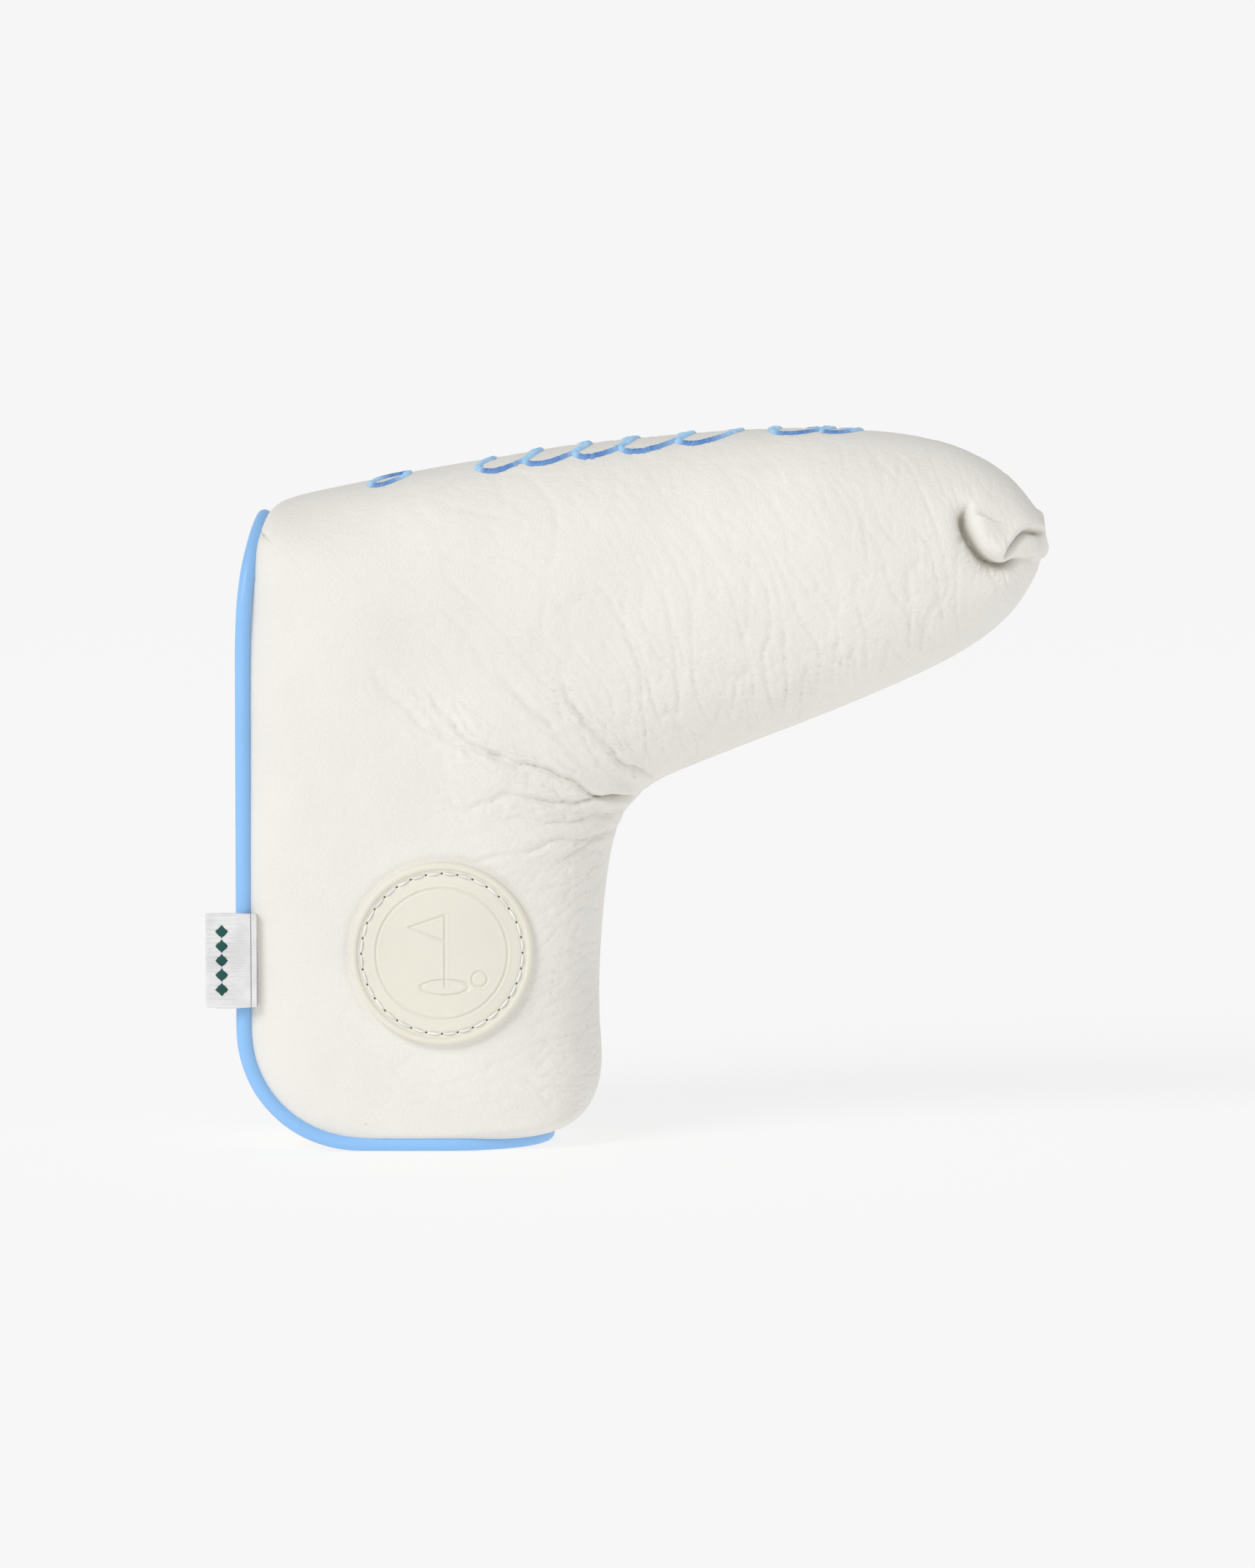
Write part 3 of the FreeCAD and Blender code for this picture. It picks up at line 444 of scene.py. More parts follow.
def crease_flow(p):
    """Coordinates across and along the leather's creases: they cross the neck, and fan out of the inner
    corner between the neck and the pocket."""
    x, z = p[:, 0], p[:, 2]
    along_neck, up_neck = neck_place(x, z, INNER_Z)
    turned = np.arctan2(z - INNER_Z, x - INNER_X) - math.pi / 2 - NECK_TILT
    turned = np.where(turned < -math.pi, turned + 2 * math.pi, turned)
    away = np.hypot(x - INNER_X, z - INNER_Z)
    flow = np.where(along_neck > 0, along_neck + 0.004 * (up_neck - 30) ** 2 - 3.6, -turned * 22)
    return flow, np.where(along_neck > 0, up_neck, away)


def front_relief(p):
    """How far the leather of the front stands out or in, at rows of points."""
    xz = p[:, [0, 2]]
    x, z = p[:, 0], p[:, 2]
    away_corner = np.hypot(x - INNER_X, z - INNER_Z)
    along_neck, _ = neck_place(x, z, INNER_Z)
    _, up_neck = neck_place(x, z, NECK_Z)
    on_neck = smooth(-6, 10, along_neck)
    wander = wandering(p, 4.5, 11, 0.9)
    relief = 0.55 * noise(p / 26.0, 1) + 0.22 * noise(p / 11.0, 2)
    for path, depth, half, swell in FOLDS:
        relief += fold_depth(xz, path, depth, half, swell, wander)
    flow, reach = crease_flow(p)
    bent = flow + 1.6 * noise(p / 14.0, 3)
    cross = np.stack([bent / 3.3, reach / 17.0, p[:, 1] / 17.0], -1)
    fine = np.stack([bent / 1.7 + 0.25 * noise(p / 3.0, 16), reach / 6.0, p[:, 1] / 6.0], -1)
    low_half = 0.40 + 0.70 * (1 - smooth(-14, 20, up_neck))
    tip_fade = 1 - 0.6 * smooth(56, 68, x)
    left = (1 - on_neck) * smooth(64, 82, z) * smooth(-62, -30, x) * 0.55
    over = on_neck * tip_fade * low_half + left
    relief -= over * (0.32 * ridged(cross, 4, 6.5) + 0.17 * ridged(fine, 5, 6.0))
    near = (1 - smooth(12, 52, away_corner)) * (1 - on_neck)
    denser = cross * np.array([1.5, 1.0, 1.0])
    relief -= near * (0.15 * ridged(denser, 7, 6.0) + 0.12 * ridged(fine, 17, 5.0))
    # slanting wrinkles between the patch and the crown side, and level ones near the toe
    slant = np.radians(24)
    down_slope = (-x * np.sin(slant) + z * np.cos(slant)) + 1.3 * noise(p / 9.0, 8)
    along_slope = x * np.cos(slant) + z * np.sin(slant)
    slope = np.stack([down_slope / 2.1, along_slope / 9.0, p[:, 1] / 9.0], -1)
    right = smooth(-34, -14, x) * (1 - smooth(50, 66, z)) * smooth(10, 20, z)
    relief -= 0.24 * right * ridged(slope, 9)
    level = np.stack([(z + 1.0 * noise(p / 10.0, 13)) / 2.2, x / 10.0, p[:, 1] / 10.0], -1)
    toe = smooth(5, 9, z) * (1 - smooth(17, 30, z)) * smooth(-62, -40, x)
    relief -= 0.20 * toe * ridged(level, 14)
    relief -= 0.07 * pebbled(p, 15)
    # smooth bands: beside the piping, along the toe's lower edge and under the neck
    calm = smooth(1.0, 12.0, x - edge_x(z)) * smooth(3.0, 9.0, z)
    relief *= 0.12 + 0.88 * calm
    relief *= 0.15 + 0.85 * smooth(2.0, 15.0, np.abs(p[:, 1]))
    patch_away = np.hypot(x - PATCH[0], z - PATCH[1])
    relief *= 0.15 + 0.85 * smooth(PATCH_R - 1.0, PATCH_R + 2.0, patch_away)
    relief -= 0.35 * np.exp(-(((patch_away - PATCH_R - 0.4) / 0.8) ** 2))
    return relief + tip_relief(p, xz)


def tip_relief(p, xz):
    """The folded-over end of the neck: a deep curved groove, an overlapping roll and the cup under it."""
    wander = wandering(p, 4.0, 21, 0.15)
    away, share, side = along_path(xz + wander, TIP_GROOVE)
    strength = smooth(0.0, 0.22, share) * (1 - 0.75 * smooth(0.72, 1.0, share))
    inside = smooth(-0.5, 0.5, side * np.minimum(away, 1.0))
    groove = -3.6 * valley(away, 0.85) * strength
    dish = -1.5 * np.exp(-((away / 3.4) ** 2)) * strength * (1 - inside)
    roll = 1.15 * hump(away, 3.2, 2.4) * strength * inside
    puckers = -0.32 * ridged(np.stack([share * 26.0, away / 6.0, away * 0], -1), 23)
    puckers *= hump(away, 1.6, 2.2) * strength * (1 - inside)
    away2, share2, side2 = along_path(xz + wander * 0.6, TIP_CREASE)
    strength2 = smooth(0.0, 0.2, share2)
    crease = -2.6 * valley(away2, 0.6) * strength2
    upper = smooth(-0.5, 0.5, side2 * np.minimum(away2, 1.0))
    over = (1.0 * upper - 0.7 * (1 - upper)) * np.exp(-((away2 / 2.6) ** 2)) * strength2
    near_tip = smooth(62, 66, p[:, 0])
    return (groove + dish + roll + puckers + crease + over) * near_tip


def back_relief(p):
    """The leather of the back: calm under the flap, lightly creased elsewhere, puckered at the neck's end."""
    x, z = p[:, 0], p[:, 2]
    along_neck, up_neck = neck_place(x, z, NECK_Z)
    on_neck = smooth(-10, 14, along_neck)
    bent = along_neck + 0.016 * up_neck**2 + 2.2 * noise(p / 14.0, 31)
    cross = np.stack([bent / 3.3, up_neck / 13.0, p[:, 1] / 13.0], -1)
    away_corner = np.hypot(x - INNER_X, z - INNER_Z)
    angle = np.arctan2(z - INNER_Z, x - INNER_X)
    fan = np.stack([angle * 8.0, np.log(away_corner + 3) * 1.6, p[:, 1] / 16.0], -1)
    relief = 0.5 * noise(p / 24.0, 32) - on_neck * 0.26 * ridged(cross, 33)
    relief -= (1 - smooth(14, 34, away_corner)) * 0.5 * ridged(fan, 34)
    relief -= 0.08 * pebbled(p, 35)
    under_flap = 1 - smooth(-31, -23, x)
    relief *= (1 - 0.95 * under_flap) * smooth(1.0, 8.0, x - edge_x(z)) * (0.2 + 0.8 * smooth(3, 9, z))
    away, share, _ = along_path(p[:, [0, 2]] + wandering(p, 3.0, 36, 0.4), BACK_PINCH)
    pinch = -2.2 * valley(away, 0.9) * smooth(0, 0.3, share)
    pinch += 0.6 * hump(away, 2.6, 2.0) * smooth(0, 0.3, share)
    return relief + pinch * smooth(62, 66, x)


# ------------------------------------------------------------------ the leather upper
ROWS, FRONT, BACK, LIP_ROWS = ((540, 200, 84, 16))
grid, places = boot_grid(ROWS, FRONT, BACK)
grid = np.concatenate([grid, tip_rows(grid[-1], LIP_ROWS)])
normals = grid_normals(grid)
if np.sum(normals[ROWS // 2, FRONT // 2] * np.array([0, -1, 0])) < 0:
    normals = -normals
plain = grid.copy()
flat_points = grid.reshape(-1, 3)
is_front = smooth(-4.0, 4.0, -plain[..., 1])
joined = np.linalg.norm(plain[:, 0] - plain[:, -1], axis=1) < 0.3
shared = normals[:, 0] + normals[:, -1]
shared /= np.linalg.norm(shared, axis=1, keepdims=True)
normals[joined, 0], normals[joined, -1] = shared[joined], shared[joined]
relief = is_front * front_relief(flat_points).reshape(grid.shape[:2])
relief += (1 - is_front) * back_relief(flat_points).reshape(grid.shape[:2])
tucked = smooth(ROWS - 2, ROWS + 7, np.arange(len(grid)))[:, None]
crown_near = np.exp(-((plain[..., 1] / 0.7) ** 2)) * (np.abs(np.arange(grid.shape[1]) - FRONT + 1) < 26)
relief = relief * (1 - 0.8 * crown_near) - 0.6 * crown_near * smooth(0, 12, np.arange(len(grid)))[:, None]
inside_edge = smooth(0.3, 4.5, grid[..., 0] - edge_x(grid[..., 2]))
relief = relief * inside_edge * (1 - tucked)
grid = plain + normals * relief[..., None]


def tree_of(points):
    """A surface that rays can be cast at."""
    return BVHTree.FromPolygons(points.reshape(-1, 3).tolist(), grid_faces(*points.shape[:2]).tolist())


def struck(tree, start, way):
    """Where a ray first meets a surface, or None."""
    place, _, _, _ = tree.ray_cast(Vector(start), Vector(way))
    return None if place is None else np.array(place)


leather_tree, plain_tree = tree_of(grid), tree_of(plain)


def face_y(x, z, side, tree=None):
    """The leather's depth at a place seen from the front (side -1) or the back (side 1)."""
    for step in range(12):
        hit = struck(tree or plain_tree, (x + step * 0.4, side * 80.0, z), (0, -side, 0))
        if hit is not None:
            return hit[1]
    return side * 20.0


# ------------------------------------------------------------------ the side opening
MOUTH_GROWN = 1.5
MOUTH = (binding_low[0] + MOUTH_GROWN, binding_high[0] - MOUTH_GROWN,
         binding_low[2] + MOUTH_GROWN, binding_high[2] - MOUTH_GROWN)
MOUTH_CORNER = 8.0


def mouth_distance(x, z, grow=0.0):
    """How far outside the side opening's outline a place is; negative inside it."""
    radius = MOUTH_CORNER + grow
    across = np.abs(x - (MOUTH[0] + MOUTH[1]) / 2) - (MOUTH[1] - MOUTH[0]) / 2 - grow + radius
    along = np.abs(z - (MOUTH[2] + MOUTH[3]) / 2) - (MOUTH[3] - MOUTH[2]) / 2 - grow + radius
    outside = np.hypot(np.maximum(across, 0), np.maximum(along, 0))
    return outside + np.minimum(np.maximum(across, along), 0) - radius


def open_mouth(points, faces, grow):
    """Cuts the side opening out of a back panel and moves the cut's edge on to its outline."""
    away = mouth_distance(points[:, 0], points[:, 2], grow)
    away = np.where(points[:, 1] > 2, away, 9.0)
    faces = faces[np.any(away[faces] > 0, axis=1)]
    nudge = 0.01
    slope_x = (mouth_distance(points[:, 0] + nudge, points[:, 2], grow) - away) / nudge
    slope_z = (mouth_distance(points[:, 0], points[:, 2] + nudge, grow) - away) / nudge
    moved = points.copy()
    move = away < 0
    moved[move, 0] -= (away * slope_x)[move]
    moved[move, 2] -= (away * slope_z)[move]
    used = np.unique(faces)
    renumber = np.zeros(len(points), int)
    renumber[used] = np.arange(len(used))
    return moved[used], renumber[faces], used


def thicken(obj, millimetres, offset):
    """Gives a sheet its thickness, on the side that offset says."""
    solid = obj.modifiers.new("thickness", "SOLIDIFY")
    solid.thickness = millimetres * MM
    solid.offset = offset
    graph = bpy.context.evaluated_depsgraph_get()
    mesh = bpy.data.meshes.new_from_object(obj.evaluated_get(graph))
    obj.modifiers.clear()
    obj.data = mesh


points, faces, used = open_mouth(grid.reshape(-1, 3), grid_faces(*grid.shape[:2]), MOUTH_GROWN)
leather = add_mesh("leather_upper_skin", points, faces.tolist())
# painted shade: the deeper a vertex lies in a crease, the more its leather colour is darkened
painted_crease_shade = 0.85 * smooth(0.9, 3.4, -relief).reshape(-1)[used]
PIECES.append((leather, "cover", ("leather_upper",), "leather"))


# ------------------------------------------------------------------ foam and plush behind the leather
LAYER_STEP = 3      # the layers need only every third row and column of the leather


def layer(name, node, side, outer, thick, slot, first, follow, fuzz=0.0, seed=0):
    """A layer of the front (-1) or back (1) panel, outer millimetres inside the leather and thick. It starts
    at a section, and follows the creases by a share of their depth."""
    inner_rows = np.arange(np.searchsorted(places, first), len(plain) - 9, LAYER_STEP)
    halves = (0, FRONT + 1) if side < 0 else (FRONT - 1, plain.shape[1])
    picked = np.ix_(inner_rows, np.arange(*halves, LAYER_STEP))
    base = plain[picked] + normals[picked] * (np.minimum(relief[picked], 0) * follow - outer)[..., None]
    # keep layers from crossing the middle near the thin ends
    base[..., 1] = np.where(side * base[..., 1] < 0.3, side * 0.3, base[..., 1])
    points, faces = base.reshape(-1, 3), grid_faces(*base.shape[:2])
    faces = faces[np.all((points[:, 0] < 74.0)[faces], axis=1)]
    if fuzz:
        fluff = noise(points / 1.6, seed) * fuzz + noise(points / 4.0, seed + 1) * fuzz
        points = points + normals[picked].reshape(-1, 3) * fluff[:, None]
    if side > 0:
        points, faces, _ = open_mouth(points, faces, MOUTH_GROWN)
    made = add_mesh(name, points, faces.tolist())
    thicken(made, thick, -1.0)
    PIECES.append((made, "cover", (node,), slot))


layer("front_foam", "front_padding", -1, 1.3, 3.4, "foam", 2.3, 1.0)
layer("back_foam", "back_padding", 1, 1.3, 3.4, "foam", 2.3, 1.0)
layer("front_plush", "front_lining", -1, 5.0, 2.2, "plush", 3.2, 0.8, 0.5, 41)
layer("back_plush", "back_lining", 1, 5.0, 2.2, "plush", 3.2, 0.0, 0.5, 43)


# ------------------------------------------------------------------ the sole strip and its layers
def sole_line(inset):
    """The sole's line from its toe end to its heel end, at a depth inside its face, and its outward side."""
    toe = [(x, inset) for x in np.arange(TOE_END_X + SEAM_HALF, SOLE_X + TOE_RADIUS, -0.5)]
    radius = TOE_RADIUS - inset
    turn = np.linspace(0, np.pi / 2, 60)
    bend = [(SOLE_X + TOE_RADIUS - radius * math.sin(a), TOE_RADIUS - radius * math.cos(a)) for a in turn]
    up = [(float(edge_x(np.array(z), inset)), z) for z in np.arange(TOE_RADIUS + 0.5, 126.01, 0.5)]
    line = np.array(toe + bend + up)
    for _ in range(6):
        line[1:-1] = (line[:-2] + 2 * line[1:-1] + line[2:]) / 4
    return line


def sole_sheet(name, inset, short, crown, fuzz=0.0):
    """A sheet of the sole's long oval shape, short of the seam's middle by short."""
    line = sole_line(inset)
    travel = travelled(line)
    t = np.linspace(0, 1, 300)
    at = travel[-1] * (t - 0.92 * np.sin(2 * np.pi * t) / (2 * np.pi))
    xz = read_along(travel, line, at)
    way = np.gradient(xz, axis=0)
    way /= np.linalg.norm(way, axis=1, keepdims=True)
    inward = np.stack([way[:, 1], -way[:, 0]], -1)
    inward *= np.sign(inward @ np.array([1.0, 0.6]))[:, None]
    half = SEAM_HALF - short
    past_toe = np.where(xz[:, 1] < TOE_RADIUS / 2, np.maximum(xz[:, 0] - TOE_END_X, 0), 0)
    past = np.where(xz[:, 1] > HEEL_END_Z, xz[:, 1] - HEEL_END_Z, past_toe)
    width = np.sqrt(np.maximum(half**2 - past**2, 0))
    v = np.linspace(-1, 1, 41)
    v = np.sign(v) * np.abs(v) ** 0.8
    depth = crown * np.abs(v) ** 3
    points = np.zeros((len(at), len(v), 3))
    points[..., 0] = xz[:, :1] + inward[:, :1] * depth
    points[..., 2] = xz[:, 1:] + inward[:, 1:] * depth
    points[..., 1] = SEAM_MIDDLE + width[:, None] * v
    grain = 0.10 * noise(points / 9.0, 51) - 0.05 * ridged(points / 2.0, 52) + fuzz * noise(points / 1.6, 53)
    points[..., 0] -= inward[:, :1] * grain * (points[..., 2] > 1)
    points[..., 2] -= inward[:, 1:] * grain * (points[..., 2] > 1)
    return grid_mesh(name, points[width > 0.4])


strip = sole_sheet("sole_strip_skin", 0.05, 0.6, 0.7)
sole_foam = sole_sheet("sole_foam", 2.5, 1.3, 0.0)
sole_plush = sole_sheet("sole_plush", 6.4, 3.2, 0.0, 0.5)
for obj, thick, node, slot in ((strip, 1.1, "sole_strip", "leather"),
                               (sole_foam, 3.6, "sole_padding", "foam"),
                               (sole_plush, 2.2, "sole_lining", "plush")):
    thicken(obj, thick, 1.0)
    PIECES.append((obj, "cover", (node,), slot))


# ------------------------------------------------------------------ the piping
def piping_loop():
    """The middle line of the piping, once round the sole strip."""
    line = sole_line(PIPING_R)
    side = line[(line[:, 0] < TOE_END_X) | (line[:, 1] > TOE_RADIUS)]
    side = side[side[:, 1] < HEEL_END_Z]
    front = np.stack([side[:, 0], np.full(len(side), SEAM_FRONT), side[:, 1]], -1)
    back = np.stack([side[:, 0], np.full(len(side), SEAM_BACK), side[:, 1]], -1)[::-1]
    turn = np.linspace(0, np.pi, 90)[1:-1, None]
    heel_z = HEEL_END_Z + np.sin(turn) * SEAM_HALF
    heel = np.hstack([edge_x(heel_z, PIPING_R), SEAM_MIDDLE - np.cos(turn) * SEAM_HALF, heel_z])
    outwards, across = np.array([1, 0, 0]) * np.sin(turn), np.array([0, 1, 0]) * np.cos(turn)
    toe = np.array([side[0, 0], SEAM_MIDDLE, PIPING_R]) + outwards * SEAM_HALF + across * SEAM_HALF
    return np.vstack([front, heel, back, toe])


def resample(loop, pitch, closed=True):
    """Points at an even pitch along a line."""
    if closed:
        loop = np.vstack([loop, loop[:1]])
    travel = travelled(loop)
    return read_along(travel, loop, np.linspace(0, travel[-1], int(travel[-1] / pitch), endpoint=not closed))


def tube(loop, radius, sides, closed, middle):
    """A round tube along a line; radius may differ from point to point, and middle lies off the line."""
    way = np.roll(loop, -1, 0) - np.roll(loop, 1, 0) if closed else np.gradient(loop, axis=0)
    way /= np.linalg.norm(way, axis=1, keepdims=True)
    first = np.cross(way, np.array(middle) - loop)
    first /= np.linalg.norm(first, axis=1, keepdims=True)
    second = np.cross(way, first)
    turn = np.linspace(0, 2 * np.pi, sides, endpoint=False)
    ring = first[:, None] * np.cos(turn)[None, :, None] + second[:, None] * np.sin(turn)[None, :, None]
    radius = np.broadcast_to(radius, len(loop))
    points = loop[:, None] + ring * radius[:, None, None]
    rows, cols = points.shape[:2]
    faces = grid_faces(rows, cols, True).tolist()
    if closed:
        last = (rows - 1) * cols
        faces += [[last + c, last + (c + 1) % cols, (c + 1) % cols, c] for c in range(cols)]
    else:
        faces += [list(range(cols))[::-1], list(range((rows - 1) * cols, rows * cols))]
    return points.reshape(-1, 3), faces


loop = resample(piping_loop(), 0.7)
for _ in range(10):
    loop = (np.roll(loop, 1, 0) + 2 * loop + np.roll(loop, -1, 0)) / 4
swell = PIPING_R * (1 + 0.018 * noise(loop / 5.0, 61))
PIPING_MIDDLE = (-20, SEAM_MIDDLE, 65)
points, faces = tube(loop, swell, 22, True, PIPING_MIDDLE)
points[:, 2] = np.maximum(points[:, 2], 0.0)
piping = add_mesh("piping_tube", points, faces)
PIECES.append((piping, "cover", ("piping_cover",), "piping"))
points, faces = tube(loop, CORD_R, 12, True, PIPING_MIDDLE)
PIECES.append((add_mesh("piping_cord_core", points, faces), "cover", ("piping_cord",), "cord"))


# ------------------------------------------------------------------ the side opening's binding
def mouth_outline(grow):
    """Points of the side opening's outline, grown outwards, as x and z."""
    radius = MOUTH_CORNER + grow
    x0, x1, z0, z1 = MOUTH[0] - grow, MOUTH[1] + grow, MOUTH[2] - grow, MOUTH[3] + grow
    corners = [(x1 - radius, z0 + radius, -90), (x1 - radius, z1 - radius, 0),
               (x0 + radius, z1 - radius, 90), (x0 + radius, z0 + radius, 180)]
    line = []
    for x, z, start in corners:
        for a in np.radians(np.linspace(start, start + 90, 24)):
            line.append((x + radius * math.cos(a), z + radius * math.sin(a), 0))
    return resample(np.array(line), 0.1)[:, :2]


def ring_sweep(name, count, profile):
    """A band round the side opening: profile is (growth, height above the leather's face)."""
    rows = []
    for grow, lift in profile:
        line = mouth_outline(grow)
        line = line[np.linspace(0, len(line), count, endpoint=False).astype(int)]
        ys = np.array([face_y(x, z, 1) for x, z in line])
        rows.append(np.stack([line[:, 0], ys + lift, line[:, 1]], -1))
    return grid_mesh(name, np.array(rows), True)


BINDING_PROFILE = [(3.7, -0.4), (3.7, 0.15), (3.2, 0.38), (2.2, 0.45), (1.1, 0.4), (0.35, 0.1), (0.0, -0.7),
                   (0.0, -2.5), (0.0, -5.0), (0.0, -7.0), (0.5, -7.6), (1.8, -7.8), (3.2, -7.8), (3.6, -7.5)]
binding = ring_sweep("mouth_binding_strip", 300, BINDING_PROFILE)
PIECES.append((binding, "cover", ("mouth_binding",), "leather"))

# ------------------------------------------------------------------ the closing flap
FLAP_LEFT, FLAP_RIGHT = flap_low[0], flap_high[0]
FLAP_BOTTOM, FLAP_TOP = flap_low[2], flap_high[2]
FLAP_CORNER = 14.0
FLAP_IN, FLAP_OUT = 0.5, 3.8


def flap_grid(rows, cols, margin, height):
    """Points of a face of the flap; height(edge distance, place) gives its lift above the back panel."""
    bottom, top, right = FLAP_BOTTOM + margin, FLAP_TOP - margin, FLAP_RIGHT - margin
    radius = FLAP_CORNER - margin
    t = np.linspace(0, 1, rows)
    zs = bottom + (top - bottom) * (t - 0.94 * np.sin(2 * np.pi * t) / (2 * np.pi))
    points = np.zeros((rows, cols, 3))
    for k, z in enumerate(zs):
        rise = max(bottom + radius - z, z - (top - radius), 0.0)
        right_x = right - (radius - math.sqrt(max(radius**2 - rise**2, 0)))
        left_x = max(FLAP_LEFT, float(edge_x(np.array(z))) + 1.2)
        share = np.linspace(0, 1, cols)
        share = share - 0.6 * np.sin(2 * np.pi * share) / (2 * np.pi)
        xs = left_x + (right_x - left_x) * share
        edge = np.minimum(right_x - xs, np.minimum(z - bottom, top - z))
        if rise > 0:
            edge = np.minimum(edge, radius - np.hypot(np.maximum(xs - (right - radius), 0), rise))
        ys = np.array([face_y(x, z, 1) for x in xs])
        points[k, :, 0], points[k, :, 2] = xs, z
        points[k, :, 1] = ys + height(np.maximum(edge, 0), np.stack([xs, ys, np.full(cols, z)], -1))
    return points


def flap_outer(edge, place):
    """The leather's outer face: full in the middle, rounded down at its free edges, with a sewn channel."""
    full = FLAP_OUT - 0.5 + 0.35 * smooth(4, 14, edge)
    round_edge = np.sqrt(np.clip(1 - (1 - np.clip(edge / 2.6, 0, 1)) ** 2, 0, 1))
    channel = 0.35 * np.exp(-(((edge - 3.2) / 0.8) ** 2))
    wrinkle = 0.16 * noise(place / 14.0, 71) - 0.07 * ridged(place / np.array([2.4, 2.0, 1.8]), 72)
    return 0.9 + (full - 0.9) * round_edge - channel + wrinkle * smooth(0, 3, edge)


def flap_under(edge, place):
    """The plush lining's face, next to the back panel."""
    return FLAP_IN + 0.1 + 0.15 * np.abs(noise(place / 1.7, 73))


def closed_pair(name, outer, inner):
    """A solid between two grids that share their outline."""
    rows, cols = outer.shape[:2]
    count = rows * cols
    faces = grid_faces(rows, cols).tolist()
    faces += (grid_faces(rows, cols)[:, ::-1] + count).tolist()
    rim = list(range(cols)) + [r * cols + cols - 1 for r in range(1, rows)]
    rim += [(rows - 1) * cols + c for c in range(cols - 2, -1, -1)]
    rim += [r * cols for r in range(rows - 2, 0, -1)]
    for a, b in zip(rim, rim[1:] + rim[:1]):
        faces.append([b, a, a + count, b + count])
    return add_mesh(name, np.vstack([outer.reshape(-1, 3), inner.reshape(-1, 3)]), faces)


outer = flap_grid(200, 96, 0.0, flap_outer)
inner = outer.copy()
inner[..., 1] = flap_grid(200, 96, 0.0, lambda edge, place: 1.75 - 0.85 * (1 - smooth(0, 1.5, edge)))[..., 1]
flap = closed_pair("flap_skin", outer, inner)
lining_out = flap_grid(150, 80, 1.4, lambda edge, place: 1.8)
lining_in = flap_grid(150, 80, 1.4, flap_under)
flap_plush = closed_pair("flap_plush", lining_out, lining_in)
PIECES.append((flap, "flap", ("flap_leather", "flap_board"), "leather"))
PIECES.append((flap_plush, "flap", ("flap_lining",), "plush"))


# ------------------------------------------------------------------ the round patch
def segment_away(u, v, a, b):
    """Distance from each place to a straight line between two points."""
    a, b = np.array(a, float), np.array(b, float)
    way = b - a
    t = np.clip(((u - a[0]) * way[0] + (v - a[1]) * way[1]) / (way @ way), 0, 1)
    return np.hypot(u - a[0] - t * way[0], v - a[1] - t * way[1])


def patch_lines(u, v):
    """Distance to the nearest pressed line of the patch: a plain ring, a flag, its hole and a ball."""
    away = np.abs(np.hypot(u, v) - 12.9)
    pole, top, low = 0.6, 7.6, 2.4
    for a, b in (((pole, -6.6), (pole, top)), ((pole, top), (-6.4, 5.2)), ((-6.4, 5.2), (pole, low))):
        away = np.minimum(away, segment_away(u, v, a, b))
    hole = np.abs(np.hypot((u - pole) / 4.6, (v + 6.6) / 1.5) - 1) * 2.4
    ball = np.abs(np.hypot(u - 7.4, v + 5.0) - 1.5)
    return np.minimum(away, np.minimum(hole, ball))


STITCH_RING, STITCHES = 15.8, 32
RIM_MIDDLE, RIM_FROM = 17.25, 16.5


def patch_height(r, u, v):
    """The patch's height above the leather: a field with pressed lines, a sewn channel and a rolled rim."""
    field = 1.0 + 0.22 * (1 - (r / PATCH_R) ** 2)
    field -= 0.30 * np.exp(-((patch_lines(u, v) / 0.20) ** 2))
    field += 0.05 * np.exp(-(((patch_lines(u, v) - 0.5) / 0.25) ** 2))
    field -= 0.16 * np.exp(-(((r - STITCH_RING) / 0.45) ** 2))
    rim = 0.55 + 1.0 * np.sqrt(np.clip(1 - ((r - RIM_MIDDLE) / 0.85) ** 2, 0, 1))
    tucked_in = np.where(r < RIM_MIDDLE, field - 0.35 * smooth(16.4, 16.8, r), 0)
    return np.where(r > RIM_FROM, np.maximum(rim, tucked_in), field)


rings = np.r_[np.linspace(0.02, 15.0, 110), np.linspace(15.1, 18.08, 44)]
turns = np.linspace(0, 2 * np.pi, 420, endpoint=False)
u, v = rings[:, None] * np.cos(turns), rings[:, None] * np.sin(turns)
coarse_r, coarse_a = np.linspace(0, 18.2, 12), np.linspace(0, 2 * np.pi, 49)
base = np.array([[face_y(PATCH[0] + r * math.cos(a), PATCH[1] + r * math.sin(a), -1) for a in coarse_a]
                 for r in coarse_r])
row_at = np.interp(rings, coarse_r, np.arange(12))
row_low = np.minimum(row_at.astype(int), 10)
row_mix = (row_at - row_low)[:, None]
by_row = base[row_low] * (1 - row_mix) + base[row_low + 1] * row_mix
patch_base = np.array([np.interp(turns, coarse_a, line) for line in by_row])
height = patch_height(np.broadcast_to(rings[:, None], u.shape), u, v)
height[-1] = -0.5
height[-2] = 0.1
height += 0.02 * noise(np.stack([u / 3, v / 3, u * 0], -1), 81)
patch_points = np.stack([PATCH[0] + u, patch_base - height, PATCH[1] + v], -1)
patch = add_mesh("round_patch_face", patch_points.reshape(-1, 3),
                 grid_faces(*u.shape, True)[:, ::-1].tolist() + [list(range(len(turns)))])
PIECES.append((patch, "cover", ("round_patch",), "patch_leather"))


def on_patch(angle, radius, lift):
    """A point on the patch's face at an angle and radius, lifted off it."""
    r = np.interp(radius, rings, np.arange(len(rings)))
    line = patch_base[int(r)]
    y = np.interp(angle % (2 * np.pi), np.r_[turns, 2 * np.pi], np.r_[line, line[0]])
    return (PATCH[0] + radius * math.cos(angle), y - lift, PATCH[1] + radius * math.sin(angle))


